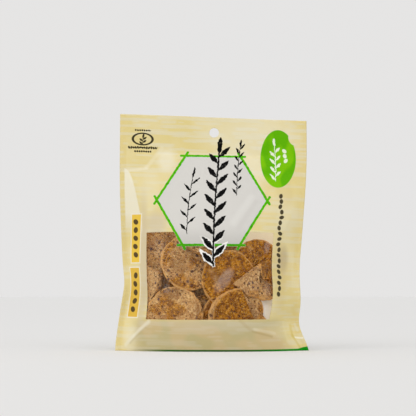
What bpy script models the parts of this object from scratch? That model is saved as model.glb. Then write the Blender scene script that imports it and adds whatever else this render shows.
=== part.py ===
"""A stand-up pouch of rice crackers, shut all round and standing on its bottom gusset.

Metres, +Z up. The printed front faces -Y, and the origin is at the bottom centre of the part.
The pouch is one closed solid of its true outer form: a thin sealed header with a hang hole,
thin seals down both sides, a body that bulges with what it holds, and a gusset underneath
that lies flat in the middle and arches up towards the two bottom corners.
"""

import bisect
import math

import bmesh
import bpy
from mathutils import Matrix, Vector

# Driving dimensions
WIDTH = 0.160
HEIGHT_LEFT = 0.1976
HEIGHT_RIGHT = 0.1914
SEAL_WIDTH = 0.005
SEAL_THICKNESS = 0.0012
HANG_HOLE_DIAMETER = 0.008
HANG_HOLE_DROP = 0.0130
HANG_HOLE_PLACE = 0.0018
HANG_HOLE_RIM_POINTS = 32
RIM_THICKNESS = 0.0013
GUSSET_ARCH = 0.015
GUSSET_FLAT_SHARE = 0.60
HEADER_LEAN = 0.004

# Cells of the grid that the shell is shaped from
COLUMNS = 28
LAYERS = 6
ROWS = 36

# Each curve is a list of (share of the height, distance in metres).
LEFT_INSET = (
    (0.00, 0.0000),
    (0.03, 0.0002),
    (0.12, 0.0026),
    (0.20, 0.0052),
    (0.28, 0.0086),
    (0.36, 0.0060),
    (0.50, 0.0044),
    (0.72, 0.0031),
    (1.00, 0.0029),
)
RIGHT_INSET = (
    (0.00, 0.0000),
    (0.03, 0.0024),
    (0.08, 0.0084),
    (0.13, 0.0096),
    (0.20, 0.0064),
    (0.34, 0.0078),
    (0.45, 0.0058),
    (0.60, 0.0036),
    (0.80, 0.0008),
    (1.00, 0.0006),
)
FRONT_DEPTH = (
    (0.00, 0.0210),
    (0.09, 0.0246),
    (0.18, 0.0276),
    (0.28, 0.0284),
    (0.41, 0.0256),
    (0.54, 0.0190),
    (0.67, 0.0108),
    (0.77, 0.0050),
    (0.84, 0.0014),
    (0.88, 0.0000),
    (1.00, 0.0000),
)
BACK_SHARE = 0.94
# How square the cross-section is: 2 is a parabola, more is flatter in the middle.
BODY_SQUARENESS = 2.3
BASE_SQUARENESS = 2.7


def along_curve(points, place):
    """The value of a smooth curve through points, at place along it."""
    places = [point[0] for point in points]
    index = min(max(bisect.bisect_right(places, place) - 1, 0), len(points) - 2)
    slopes = []
    for middle in (index, index + 1):
        before = points[max(middle - 1, 0)]
        after = points[min(middle + 1, len(points) - 1)]
        slopes.append((after[1] - before[1]) / (after[0] - before[0]))
    start, end = points[index], points[index + 1]
    span = end[0] - start[0]
    t = min(max((place - start[0]) / span, 0.0), 1.0)
    return (
        (2 * t**3 - 3 * t**2 + 1) * start[1]
        + (t**3 - 2 * t**2 + t) * span * slopes[0]
        + (3 * t**2 - 2 * t**3) * end[1]
        + (t**3 - t**2) * span * slopes[1]
    )


def fullness(across, up):
    """How far the film bulges here, as a share of its depth in the middle: none on the seals."""
    free = 1.0 - 2.0 * SEAL_WIDTH / WIDTH
    inward = min(abs(across) / free, 1.0)
    near_base = max(1.0 - up / 0.2, 0.0)
    squareness = BODY_SQUARENESS + (BASE_SQUARENESS - BODY_SQUARENESS) * near_base
    return 1.0 - inward**squareness


def film_point(across, side, up):
    """A point of the film: side is -1 on the front panel and 1 on the back one."""
    left = -WIDTH / 2 + along_curve(LEFT_INSET, up)
    right = WIDTH / 2 - along_curve(RIGHT_INSET, up)
    share = (across + 1.0) / 2.0
    height = HEIGHT_LEFT + (HEIGHT_RIGHT - HEIGHT_LEFT) * share
    depth = max(along_curve(FRONT_DEPTH, up), 0.0) * fullness(across, up)
    if side > 0:
        depth *= BACK_SHARE
    lean = HEADER_LEAN * up**2
    return Vector((left + (right - left) * share, lean + side * (SEAL_THICKNESS / 2 + depth), height * up))


def gusset_arch(across):
    """How high the gusset arches between its rims, from none in the middle to its most near a corner."""
    free = 1.0 - 2.0 * SEAL_WIDTH / WIDTH
    place = min(abs(across) / free, 1.0)
    rise = min(max((place - GUSSET_FLAT_SHARE) / (0.94 - GUSSET_FLAT_SHARE), 0.0), 1.0)
    fall = min(max((1.0 - place) / 0.06, 0.0), 1.0)
    return GUSSET_ARCH * rise**2 * (3.0 - 2.0 * rise) * fall


def shell_point(across, through, up):
    """Where a point of the grid box goes: through runs from -1 at the front to 1 at the back."""
    front = film_point(across, -1, up)
    back = film_point(across, 1, up)
    share = (through + 1.0) / 2.0
    if up > 0 or share in (0.0, 1.0):
        return front.lerp(back, share)
    # The gusset lies between a front and a back rim, which stand on the table.
    step = 1.0 / LAYERS
    rim = min(RIM_THICKNESS / (back.y - front.y), 0.3)
    inner = min(max((share - step) / (1.0 - 2.0 * step), 0.0), 1.0)
    point = front.lerp(back, rim + (1.0 - 2.0 * rim) * inner)
    point.z = gusset_arch(across) * math.sin(math.pi * inner)
    return point


def grid_box():
    """A closed box from -1 to 1 along each axis, its faces cut into a grid."""
    bm = bmesh.new()
    bmesh.ops.create_cube(bm, size=2.0)
    for axis, cells in enumerate((COLUMNS, LAYERS, ROWS)):
        along = []
        for edge in bm.edges:
            direction = edge.verts[1].co - edge.verts[0].co
            if abs(direction[axis]) > 0.9 * direction.length:
                along.append(edge)
        bmesh.ops.subdivide_edges(bm, edges=along, cuts=cells - 1, use_grid_fill=True)
    return bm


def make_material():
    material = bpy.data.materials.new("printed film")
    material.use_nodes = True
    shader = material.node_tree.nodes["Principled BSDF"]
    shader.inputs["Base Color"].default_value = (0.77, 0.66, 0.38, 1.0)
    shader.inputs["Roughness"].default_value = 0.38
    shader.inputs["Metallic"].default_value = 0.0
    return material


def make_collection(name):
    collection = bpy.data.collections.new(name)
    bpy.context.scene.collection.children.link(collection)
    return collection


def make_pouch(collection):
    """The whole pouch, centred on its own box. Returns the object and how far it was moved."""
    bm = grid_box()
    for vertex in bm.verts:
        vertex.co = shell_point(vertex.co.x, vertex.co.y, round((vertex.co.z + 1.0) / 2.0, 6))
    lowest = [min(vertex.co[axis] for vertex in bm.verts) for axis in range(3)]
    highest = [max(vertex.co[axis] for vertex in bm.verts) for axis in range(3)]
    shift = Vector((-(lowest[0] + highest[0]) / 2, -(lowest[1] + highest[1]) / 2, -lowest[2]))
    bmesh.ops.translate(bm, verts=bm.verts, vec=shift)
    bmesh.ops.recalc_face_normals(bm, faces=bm.faces)
    mesh = bpy.data.meshes.new("pouch")
    bm.to_mesh(mesh)
    bm.free()
    pouch = bpy.data.objects.new("pouch", mesh)
    pouch.data.materials.append(make_material())
    collection.objects.link(pouch)
    mesh.shade_smooth()
    mesh.set_sharp_from_angle(angle=math.radians(35))
    return pouch, shift


def make_hole_cutter(collection, shift):
    """The round hole in the middle of the header, for a display hook."""
    bm = bmesh.new()
    bmesh.ops.create_cone(
        bm,
        cap_ends=True,
        segments=HANG_HOLE_RIM_POINTS,
        radius1=HANG_HOLE_DIAMETER / 2,
        radius2=HANG_HOLE_DIAMETER / 2,
        depth=0.040,
        matrix=Matrix.Rotation(math.radians(90), 4, "X"),
    )
    mesh = bpy.data.meshes.new("hang_hole_cutter")
    bm.to_mesh(mesh)
    bm.free()
    cutter = bpy.data.objects.new("hang_hole_cutter", mesh)
    top = film_point(0.0, -1, 1.0)
    cutter.location = shift + Vector((HANG_HOLE_PLACE, top.y, top.z - HANG_HOLE_DROP))
    cutter.hide_render = True
    cutter.display_type = "WIRE"
    collection.objects.link(cutter)
    return cutter


def main():
    for item in list(bpy.data.objects):
        bpy.data.objects.remove(item, do_unlink=True)
    pouch, shift = make_pouch(make_collection("rice cracker pouch"))
    cutters = make_collection("cutters")
    hole = pouch.modifiers.new("hang hole", "BOOLEAN")
    hole.object = make_hole_cutter(cutters, shift)
    hole.operation = "DIFFERENCE"
    hole.solver = "EXACT"


main()
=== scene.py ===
"""The looks of a stand-up pouch of rice crackers: printed film, a clear window and the crackers behind it.

Metres, +Z up, front towards -Y. The film is worked out as flat sheets first, in millimetres across and
up from the middle of the bottom edge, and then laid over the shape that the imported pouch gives.
"""

import math
import random

import bmesh
import bpy
import numpy as np
from mathutils import Euler, Matrix, Vector, noise


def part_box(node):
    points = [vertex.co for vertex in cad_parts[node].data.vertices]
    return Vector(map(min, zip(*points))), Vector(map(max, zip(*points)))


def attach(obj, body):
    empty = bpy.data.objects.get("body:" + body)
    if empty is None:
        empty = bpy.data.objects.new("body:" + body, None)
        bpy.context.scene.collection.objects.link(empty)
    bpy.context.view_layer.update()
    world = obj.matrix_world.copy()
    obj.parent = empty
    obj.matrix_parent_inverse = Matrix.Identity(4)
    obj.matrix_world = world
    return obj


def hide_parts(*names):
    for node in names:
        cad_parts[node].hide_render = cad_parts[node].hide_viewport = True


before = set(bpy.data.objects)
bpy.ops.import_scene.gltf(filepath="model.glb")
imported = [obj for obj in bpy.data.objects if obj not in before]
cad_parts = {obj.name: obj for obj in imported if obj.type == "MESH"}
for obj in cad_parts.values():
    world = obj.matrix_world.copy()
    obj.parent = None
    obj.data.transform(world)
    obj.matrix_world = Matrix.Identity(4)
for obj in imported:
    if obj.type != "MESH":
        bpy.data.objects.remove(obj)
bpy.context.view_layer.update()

LOW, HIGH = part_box("pouch")
MM = 0.001

# Sizes of the pouch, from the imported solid
WIDTH = HIGH[0] - LOW[0]
HEIGHT_LEFT = HIGH[2] - LOW[2]
HEIGHT_RIGHT = 0.9686 * HEIGHT_LEFT
SEAL_WIDTH = 0.031 * WIDTH
TOP_SEAL = 0.022
FILM = 0.00020
SEAL_GAP = 0.00006
HOLE_RADIUS = 0.0040
HOLE_DROP = 0.0130
HOLE_PLACE = 0.0007
GUSSET_ARCH = 0.015
GUSSET_FLAT_SHARE = 0.60
GUSSET_SKIRT = 0.0032
HEADER_LEAN = 0.004
BACK_SHARE = 0.94
BODY_SQUARENESS = 2.3
BASE_SQUARENESS = 2.7
CELL = 0.002
# How far the print of the back and of the gusset is set off from the front's, on the flat map
BACK_PRINT = 1.0
GUSSET_PRINT = -1.0

# Curves of the outline, as (share of the height, distance), the same as the solid's
LEFT_INSET = (
    (0.00, 0.0000), (0.03, 0.0002), (0.12, 0.0026), (0.20, 0.0052), (0.28, 0.0086),
    (0.36, 0.0060), (0.50, 0.0044), (0.72, 0.0031), (1.00, 0.0029),
)
RIGHT_INSET = (
    (0.00, 0.0000), (0.03, 0.0024), (0.08, 0.0084), (0.13, 0.0096), (0.20, 0.0064),
    (0.34, 0.0078), (0.45, 0.0058), (0.60, 0.0036), (0.80, 0.0008), (1.00, 0.0006),
)
FRONT_DEPTH = (
    (0.00, 0.0210), (0.09, 0.0246), (0.18, 0.0276), (0.28, 0.0284), (0.41, 0.0256), (0.54, 0.0190),
    (0.67, 0.0108), (0.77, 0.0050), (0.84, 0.0014), (0.88, 0.0000), (1.00, 0.0000),
)


# ---------------------------------------------------------------- the film's shape

def along_curve(points, places):
    """Values of a smooth curve through points, at an array of places."""
    places = np.asarray(places, float)
    at = np.array([p[0] for p in points])
    value = np.array([p[1] for p in points])
    slope = np.empty(len(points))
    slope[1:-1] = (value[2:] - value[:-2]) / (at[2:] - at[:-2])
    slope[0] = (value[1] - value[0]) / (at[1] - at[0])
    slope[-1] = (value[-1] - value[-2]) / (at[-1] - at[-2])
    i = np.clip(np.searchsorted(at, places, side="right") - 1, 0, len(points) - 2)
    span = at[i + 1] - at[i]
    t = np.clip((places - at[i]) / span, 0, 1)
    return (
        (2 * t**3 - 3 * t**2 + 1) * value[i]
        + (t**3 - 2 * t**2 + t) * span * slope[i]
        + (3 * t**2 - 2 * t**3) * value[i + 1]
        + (t**3 - t**2) * span * slope[i + 1]
    )


def bulged(across, side, up):
    """Points of the smooth pouch, middle of the film: across -1 to 1, side -1 front or 1 back, up 0 to 1."""
    across, up = np.broadcast_arrays(np.asarray(across, float), np.asarray(up, float))
    left = -WIDTH / 2 + along_curve(LEFT_INSET, up)
    right = WIDTH / 2 - along_curve(RIGHT_INSET, up)
    share = (across + 1) / 2
    height = HEIGHT_LEFT + (HEIGHT_RIGHT - HEIGHT_LEFT) * share
    free = 1 - 2 * SEAL_WIDTH / WIDTH
    inward = np.minimum(np.abs(across) / free, 1)
    near_base = np.maximum(1 - up / 0.2, 0)
    squareness = BODY_SQUARENESS + (BASE_SQUARENESS - BODY_SQUARENESS) * near_base
    depth = np.maximum(along_curve(FRONT_DEPTH, up), 0) * (1 - inward**squareness)
    depth = depth * (BACK_SHARE if side > 0 else 1)
    x = left + (right - left) * share
    y = HEADER_LEAN * up**2 + side * depth
    return np.stack([x, y, height * up], axis=-1)


def arc_places(points):
    """Running length along a line of points."""
    return np.concatenate([[0], np.cumsum(np.linalg.norm(np.diff(points, axis=0), axis=1))])


MIDDLE_UP = np.linspace(0, 1, 801)
MIDDLE_ARC = arc_places(bulged(0.0, -1, MIDDLE_UP))
FILM_HEIGHT = float(MIDDLE_ARC[-1])
ROWS = round(FILM_HEIGHT / CELL)
COLUMNS = round(WIDTH / CELL)


def smooth_sheet(side, rows, columns):
    """A grid of points on the smooth pouch, evenly spaced along the film each way."""
    fine = np.linspace(-1, 1, 801)
    ups = np.interp(np.linspace(0, FILM_HEIGHT, rows + 1), MIDDLE_ARC, MIDDLE_UP)
    sheet = np.empty((rows + 1, columns + 1, 3))
    for row, up in enumerate(ups):
        arc = arc_places(bulged(fine, side, up))
        across = np.interp(np.linspace(0, arc[-1], columns + 1), arc, fine)
        sheet[row] = bulged(across, side, up)
    return sheet


def seal_waves(sheet, rows, columns):
    """Adds the slow waves of the two side seals, which fade out towards the middle."""
    v = np.linspace(0, 1, rows + 1)[:, None]
    u = np.linspace(-1, 1, columns + 1)[None, :]
    left_fade = np.exp(-((1 + u) / 0.28) ** 2)
    right_fade = np.exp(-((1 - u) / 0.30) ** 2)
    hold = np.clip(v / 0.10, 0, 1) * np.clip((1.0 - v) / 0.16, 0, 1)
    left = -0.0050 * np.exp(-(((v - 0.285) / 0.045) ** 2)) + 0.0045 * np.exp(-(((v - 0.17) / 0.07) ** 2))
    left = left + 0.0040 * np.exp(-(((v - 0.45) / 0.10) ** 2)) - 0.0025 * np.exp(-(((v - 0.68) / 0.10) ** 2))
    right = 0.0050 * np.exp(-(((v - 0.13) / 0.045) ** 2)) - 0.0050 * np.exp(-(((v - 0.24) / 0.06) ** 2))
    right = right + 0.0055 * np.exp(-(((v - 0.42) / 0.09) ** 2)) - 0.0040 * np.exp(-(((v - 0.63) / 0.10) ** 2))
    sheet[..., 1] += hold * (left * left_fade + right * right_fade)


def pull_to_length(points, first, second, rest, stiffness):
    """Moves each pair of neighbours towards their length in the flat film."""
    gap = points[second] - points[first]
    length = np.linalg.norm(gap, axis=-1, keepdims=True)
    move = gap * (0.5 * stiffness * (length - rest[..., None]) / np.maximum(length, 1e-9))
    points[first] += move
    points[second] -= move


def neighbour_pairs():
    """Pairs of slices that take in every edge and diagonal of a grid, with no point twice in one pair."""
    every, pairs = slice(None), []
    for start in (0, 1):
        lower, upper = slice(start, -1, 2), slice(start + 1, None, 2)
        pairs.append(("u", (every, lower), (every, upper)))
        pairs.append(("v", (lower, every), (upper, every)))
        for across in (0, 1):
            left, right = slice(across, -1, 2), slice(across + 1, None, 2)
            pairs.append(("d", (lower, left), (upper, right)))
            pairs.append(("e", (lower, right), (upper, left)))
    return pairs


def relaxed(rows, columns, start, rounds):
    """Lets the two panels settle as film that bends but hardly stretches, from start or the smooth pouch."""
    targets = [smooth_sheet(side, rows, columns) for side in (-1, 1)]
    for target in targets:
        seal_waves(target, rows, columns)
    panels = start or [target.copy() for target in targets]
    cell = FILM_HEIGHT / rows
    u = np.linspace(-WIDTH / 2, WIDTH / 2, columns + 1)
    v = np.linspace(0, FILM_HEIGHT, rows + 1)
    sealed = np.abs(u) > WIDTH / 2 - SEAL_WIDTH - 0.25 * cell
    closing = np.clip((v - FILM_HEIGHT + TOP_SEAL + 0.012) / 0.012, 0, 1)[:, None, None]
    free_u = np.clip((WIDTH / 2 - np.abs(u)) / 0.030, 0, 1)[None, :, None]
    middle_height = (HEIGHT_LEFT + HEIGHT_RIGHT) / 2
    taller = (HEIGHT_LEFT + (HEIGHT_RIGHT - HEIGHT_LEFT) * (u + WIDTH / 2) / WIDTH) / middle_height
    pairs = neighbour_pairs()
    rests = []
    for target in targets:
        across = np.linalg.norm(np.diff(target, axis=1), axis=-1)
        own = np.linalg.norm(np.diff(target, axis=0), axis=-1)
        upward = 0.25 * own + 0.75 * cell * taller[None, :]
        slant = np.sqrt(((across[1:] + across[:-1]) / 2) ** 2 + ((upward[:, 1:] + upward[:, :-1]) / 2) ** 2)
        rests.append({"u": across, "v": upward, "d": slant, "e": slant})
    for _ in range(rounds):
        for panel, target, rest in zip(panels, targets, rests):
            panel[..., 1:2] += (0.004 + 0.05 * free_u**2) * (target[..., 1:2] - panel[..., 1:2])
            panel[..., 0::2] += 0.02 * (target[..., 0::2] - panel[..., 0::2])
            panel[-1] += 0.2 * (target[-1] - panel[-1])
            for kind, first, second in pairs:
                span = rest[kind]
                if kind == "u":
                    part = span[:, first[1].start::2]
                elif kind == "v":
                    part = span[first[0].start::2]
                else:
                    part = span[first[0].start::2, min(first[1].start, second[1].start)::2]
                pull_to_length(panel, first, second, part, 0.9 if kind in "uv" else 0.5)
            inner = panel[1:-1, 1:-1]
            bend = panel[:-2, 1:-1] + panel[2:, 1:-1] + panel[1:-1, :-2] + panel[1:-1, 2:] - 4 * inner
            inner += 0.04 * bend
            edge = panel[1:-1, ::columns]
            edge += 0.15 * (panel[:-2, ::columns] + panel[2:, ::columns] - 2 * edge)
            panel[0] = target[0]
        front, back = panels
        middle = (front + back) / 2
        crossed = front[..., 1] > back[..., 1]
        for panel in panels:
            panel[crossed] = middle[crossed]
            panel[:, sealed] = middle[:, sealed]
            panel += closing * (middle - panel)
    return panels


def finer(panel, rows, columns):
    """The same sheet on a finer grid."""
    old_rows, old_columns = panel.shape[0] - 1, panel.shape[1] - 1
    for axis, (old, new) in enumerate(((old_rows, rows), (old_columns, columns))):
        place = np.linspace(0, old, new + 1)
        i = np.clip(place.astype(int), 0, old - 1)
        t = (place - i)[:, None, None] if axis == 0 else (place - i)[None, :, None]
        take = [np.take(panel, np.clip(i + k, 0, old), axis=axis) for k in (-1, 0, 1, 2)]
        a, b, c, d = take
        panel = b + 0.5 * t * (c - a + t * (2 * a - 5 * b + 4 * c - d + t * (3 * (b - c) + d - a)))
    return panel


def settle_film():
    """Both panels, relaxed on a coarse grid first and then on finer ones."""
    panels = None
    for share, rounds in ((4, 160), (2, 120), (1, 60)):
        rows, columns = ROWS // share, COLUMNS // share
        if panels:
            panels = [finer(panel, rows, columns) for panel in panels]
        panels = relaxed(rows, columns, panels, rounds)
    low = np.minimum(panels[0].min((0, 1)), panels[1].min((0, 1)))
    high = np.maximum(panels[0].max((0, 1)), panels[1].max((0, 1)))
    centre = (low + high) / 2
    for panel in panels:
        panel[..., 0] += (LOW[0] + HIGH[0]) / 2 - centre[0]
        panel[..., 1] += (LOW[1] + HIGH[1]) / 2 - centre[1]
        panel[..., 2] += LOW[2] - low[2]
    return panels


FRONT_SHEET, BACK_SHEET = settle_film()


def place_on(sheet, u, v):
    """Where the flat film's point (u, v) lies, u from the middle and v from the bottom edge."""
    rows, columns = sheet.shape[0] - 1, sheet.shape[1] - 1
    i = min(max((u / WIDTH + 0.5) * columns, 0.0), columns - 1e-6)
    k = min(max(v / FILM_HEIGHT * rows, 0.0), rows - 1e-6)
    i0, k0 = int(i), int(k)
    s, t = i - i0, k - k0
    low = sheet[k0, i0] * (1 - s) + sheet[k0, i0 + 1] * s
    high = sheet[k0 + 1, i0] * (1 - s) + sheet[k0 + 1, i0 + 1] * s
    return Vector(low * (1 - t) + high * t)


# Creases in the front, each as the (u, v) of its ends, how far it stands out, how wide it is and how
# far it bows to its left, in millimetres
FRONT_CREASES = (
    ((-48.0, 27.0), (-72.0, 3.0), 1.5, 3.4, 1.0),
    ((-60.0, 30.0), (-76.0, 10.0), -0.6, 4.0, 2.0),
    ((72.0, 26.0), (75.5, 1.5), 1.4, 2.2, -3.6),
    ((62.0, 16.0), (75.0, 12.0), 0.7, 2.2, 0.0),
    ((33.0, 20.0), (51.0, 12.5), 0.6, 2.0, -1.0),
    ((36.0, 19.5), (55.0, 15.0), 0.5, 2.0, 0.5),
    ((-75.5, 155.0), (-61.5, 116.0), 1.3, 3.2, 3.0),
    ((-66.0, 118.0), (-64.0, 62.0), 0.4, 4.5, 0.0),
    ((-76.0, 151.0), (-43.0, 172.0), -0.7, 6.0, -4.0),
    ((76.0, 148.0), (40.0, 172.0), -0.5, 6.0, 4.0),
    ((73.0, 128.0), (56.0, 96.0), 0.6, 4.0, 2.0),
    ((-8.0, 70.0), (8.0, 52.0), 0.5, 3.0, 1.0),
    ((18.0, 66.0), (24.0, 48.0), -0.5, 3.5, 1.0),
    ((44.0, 60.0), (30.0, 44.0), 0.35, 2.4, -1.0),
)
BACK_CREASES = (
    ((-52.0, 24.0), (-73.0, 3.0), 1.1, 4.2, 1.0),
    ((50.0, 26.0), (73.0, 3.0), 1.1, 4.2, -1.0),
    ((-75.0, 150.0), (-46.0, 170.0), -0.7, 6.0, -4.0),
    ((75.0, 152.0), (44.0, 171.0), -0.7, 6.0, 4.0),
    ((-70.0, 118.0), (-52.0, 84.0), 0.7, 4.0, 2.0),
    ((72.0, 88.0), (54.0, 60.0), 0.6, 4.0, -2.0),
    ((-20.0, 40.0), (10.0, 30.0), 0.4, 3.0, 2.0),
)


def creased(sheet, side, creases):
    """The sheet on a grid twice as fine, with its creases and the slight unevenness of handled film."""
    sheet = finer(sheet, 2 * ROWS, 2 * COLUMNS)
    u = np.linspace(-WIDTH / 2, WIDTH / 2, 2 * COLUMNS + 1)[None, :] / MM
    v = np.linspace(0, FILM_HEIGHT, 2 * ROWS + 1)[:, None] / MM
    height = np.zeros(sheet.shape[:2])
    for (u0, v0), (u1, v1), rise, width, bow in creases:
        length = math.hypot(u1 - u0, v1 - v0)
        along = ((u - u0) * (u1 - u0) + (v - v0) * (v1 - v0)) / length**2
        beside = ((u1 - u0) * (v - v0) - (v1 - v0) * (u - u0)) / length
        beside = beside - 4 * bow * along * (1 - along)
        ends = np.clip(along / 0.35, 0, 1) * np.clip((1 - along) / 0.35, 0, 1)
        height += rise * ends * np.exp(-(np.sqrt(beside**2 + 0.25) - 0.5) / width)
    for i, across in enumerate(u[0]):
        for k, up in enumerate(v[:, 0]):
            place = Vector((across / 17, up / 21, 7.0 * side))
            height[k, i] += 0.16 * noise.noise(place) + 0.05 * noise.noise(place * 2.7)
    free = np.clip((76.0 - np.abs(u)) / 9.0, 0, 1) * np.clip((178.0 - v) / 22.0, 0, 1) * np.clip(v / 3.0, 0, 1)
    return sheet + outward(sheet, side) * (height * free * MM)[..., None]


def outward(sheet, side):
    """Unit normals of a sheet's points, away from the inside of the pouch."""
    normal = np.cross(np.gradient(sheet, axis=1), np.gradient(sheet, axis=0))
    normal /= np.maximum(np.linalg.norm(normal, axis=-1, keepdims=True), 1e-12)
    return normal if side < 0 else -normal


def outer_face(sheet, side):
    """The sheet's printed outer face, half the seal's gap and one film out from its middle."""
    return sheet + outward(sheet, side) * (FILM + SEAL_GAP / 2)


FRONT_SHEET = creased(FRONT_SHEET, -1, FRONT_CREASES)
BACK_SHEET = creased(BACK_SHEET, 1, BACK_CREASES)
FRONT_FACE = outer_face(FRONT_SHEET, -1)
BACK_FACE = outer_face(BACK_SHEET, 1)


# ---------------------------------------------------------------- building pieces

# On the flat front, in millimetres: the clear window's corners, clockwise from the upper left
WINDOW = ((-55.6, 98.4), (52.6, 100.2), (50.5, 27.2), (-52.8, 26.6), (-55.9, 58.0))
# The hexagon: its middle, its corners' distance from it, its height as a share of that, and how much
# it climbs to the right
HEXAGON_MIDDLE = (-0.15, 127.6)
HEXAGON_RADIUS = 46.9
HEXAGON_SQUASH = 0.9725
HEXAGON_CLIMB = 0.017


def hexagon_corners():
    """The hexagon's corners, clockwise from the upper left."""
    corners = []
    for turn in (120, 60, 0, -60, -120, 180):
        across = HEXAGON_RADIUS * math.cos(math.radians(turn))
        up = HEXAGON_RADIUS * HEXAGON_SQUASH * math.sin(math.radians(turn))
        corners.append((HEXAGON_MIDDLE[0] + across, HEXAGON_MIDDLE[1] + up + HEXAGON_CLIMB * across))
    return corners


def side_lines(corners):
    """A line along each side of an outline given clockwise: a point of it and the way out."""
    lines = []
    for (u0, v0), (u1, v1) in zip(corners, (*corners[1:], corners[0])):
        lines.append((Vector((u0, v0, 0)) * MM, Vector((v0 - v1, u1 - u0, 0)).normalized()))
    return lines


WINDOW_LINES = side_lines(WINDOW)
HEXAGON_LINES = side_lines(hexagon_corners())


def finish_piece(bm, name, materials, sharp=40):
    """A mesh object from bm, smooth, riding on the pouch's one body."""
    mesh = bpy.data.meshes.new(name)
    bm.to_mesh(mesh)
    bm.free()
    mesh.shade_smooth()
    mesh.set_sharp_from_angle(angle=math.radians(sharp))
    piece = bpy.data.objects.new(name, mesh)
    bpy.context.scene.collection.objects.link(piece)
    for material in materials:
        mesh.materials.append(material)
    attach(piece, "root")
    return piece


def apply_modifiers(piece):
    """Replaces a piece's mesh by its evaluated one."""
    graph = bpy.context.evaluated_depsgraph_get()
    evaluated = bpy.data.meshes.new_from_object(piece.evaluated_get(graph))
    piece.modifiers.clear()
    plain_mesh = piece.data
    piece.data = evaluated
    evaluated.name = plain_mesh.name
    bpy.data.meshes.remove(plain_mesh)


def flat_film(cuts=()):
    """A flat sheet of fine cells, u along X and v along Y, cut through along lines."""
    bm = bmesh.new()
    bmesh.ops.create_grid(bm, x_segments=2 * COLUMNS, y_segments=2 * ROWS, size=0.5)
    bmesh.ops.translate(bm, verts=bm.verts, vec=(0, 0.5, 0))
    bmesh.ops.scale(bm, verts=bm.verts, vec=(WIDTH, FILM_HEIGHT, 1))
    for point, way in cuts:
        parts = bm.verts[:] + bm.edges[:] + bm.faces[:]
        bmesh.ops.bisect_plane(bm, geom=parts, dist=1e-5, plane_co=point, plane_no=way)
    return bm


def lay_on_pouch(bm, face_sheet, side):
    """Writes the flat places to the UV map, then moves the film to where it lies."""
    flat = bm.loops.layers.uv.new("flat")
    for face in bm.faces:
        for loop in face.loops:
            loop[flat].uv = (loop.vert.co.x + (BACK_PRINT if side > 0 else 0.0), loop.vert.co.y)
    for vertex in bm.verts:
        vertex.co = place_on(face_sheet, vertex.co.x, vertex.co.y)
    if side > 0:
        bmesh.ops.reverse_faces(bm, faces=bm.faces[:])


def give_thickness(piece):
    """Makes a sheet a closed film, its inner face in the second material."""
    solid = piece.modifiers.new("film", "SOLIDIFY")
    solid.thickness = FILM
    solid.offset = -1.0
    solid.use_even_offset = False
    solid.material_offset = 1
    apply_modifiers(piece)


def punch_hole(piece):
    """The round hang hole in the middle of the header."""
    centre = place_on(FRONT_SHEET, HOLE_PLACE, FILM_HEIGHT - HOLE_DROP)
    bm = bmesh.new()
    bmesh.ops.create_cone(
        bm, cap_ends=True, segments=48, radius1=HOLE_RADIUS, radius2=HOLE_RADIUS, depth=0.03,
        matrix=Matrix.Translation(centre) @ Matrix.Rotation(math.radians(90), 4, "X"),
    )
    mesh = bpy.data.meshes.new("punch")
    bm.to_mesh(mesh)
    bm.free()
    punch = bpy.data.objects.new("punch", mesh)
    bpy.context.scene.collection.objects.link(punch)
    hole = piece.modifiers.new("hang hole", "BOOLEAN")
    hole.object = punch
    hole.operation = "DIFFERENCE"
    hole.solver = "EXACT"
    apply_modifiers(piece)
    bpy.data.objects.remove(punch, do_unlink=True)


def within(place, lines):
    return all((place - point).dot(way) < 0 for point, way in lines)


def in_window(face):
    """Whether a flat face is clear film: in the window and not in the hexagon printed over it."""
    centre = face.calc_center_median()
    return within(centre, WINDOW_LINES) and not within(centre, HEXAGON_LINES)


def make_front(print_finish, inside_finish, clear_finish):
    """The front panel and, cut out of it, the clear window."""
    bm = flat_film(WINDOW_LINES + HEXAGON_LINES[2:5])
    window = bm.copy()
    bmesh.ops.delete(bm, geom=[f for f in bm.faces if in_window(f)], context="FACES")
    bmesh.ops.delete(window, geom=[f for f in window.faces if not in_window(f)], context="FACES")
    lay_on_pouch(bm, FRONT_FACE, -1)
    lay_on_pouch(window, FRONT_FACE, -1)
    front = finish_piece(bm, "front_film", [print_finish, inside_finish])
    give_thickness(front)
    punch_hole(front)
    pane = finish_piece(window, "window_film", [clear_finish])
    give_thickness(pane)
    return front, pane


def make_back(print_finish, inside_finish):
    bm = flat_film()
    lay_on_pouch(bm, BACK_FACE, 1)
    back = finish_piece(bm, "back_film", [print_finish, inside_finish])
    give_thickness(back)
    punch_hole(back)
    return back


def gusset_arch(across):
    """How high the gusset arches between its rims, from none in the middle to its most near a corner."""
    free = 1 - 2 * SEAL_WIDTH / WIDTH
    place = min(abs(across) / free, 1)
    rise = min(max((place - GUSSET_FLAT_SHARE) / (0.94 - GUSSET_FLAT_SHARE), 0), 1)
    fall = min(max((1 - place) / 0.06, 0), 1)
    return GUSSET_ARCH * rise**2 * (3 - 2 * rise) * fall


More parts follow.
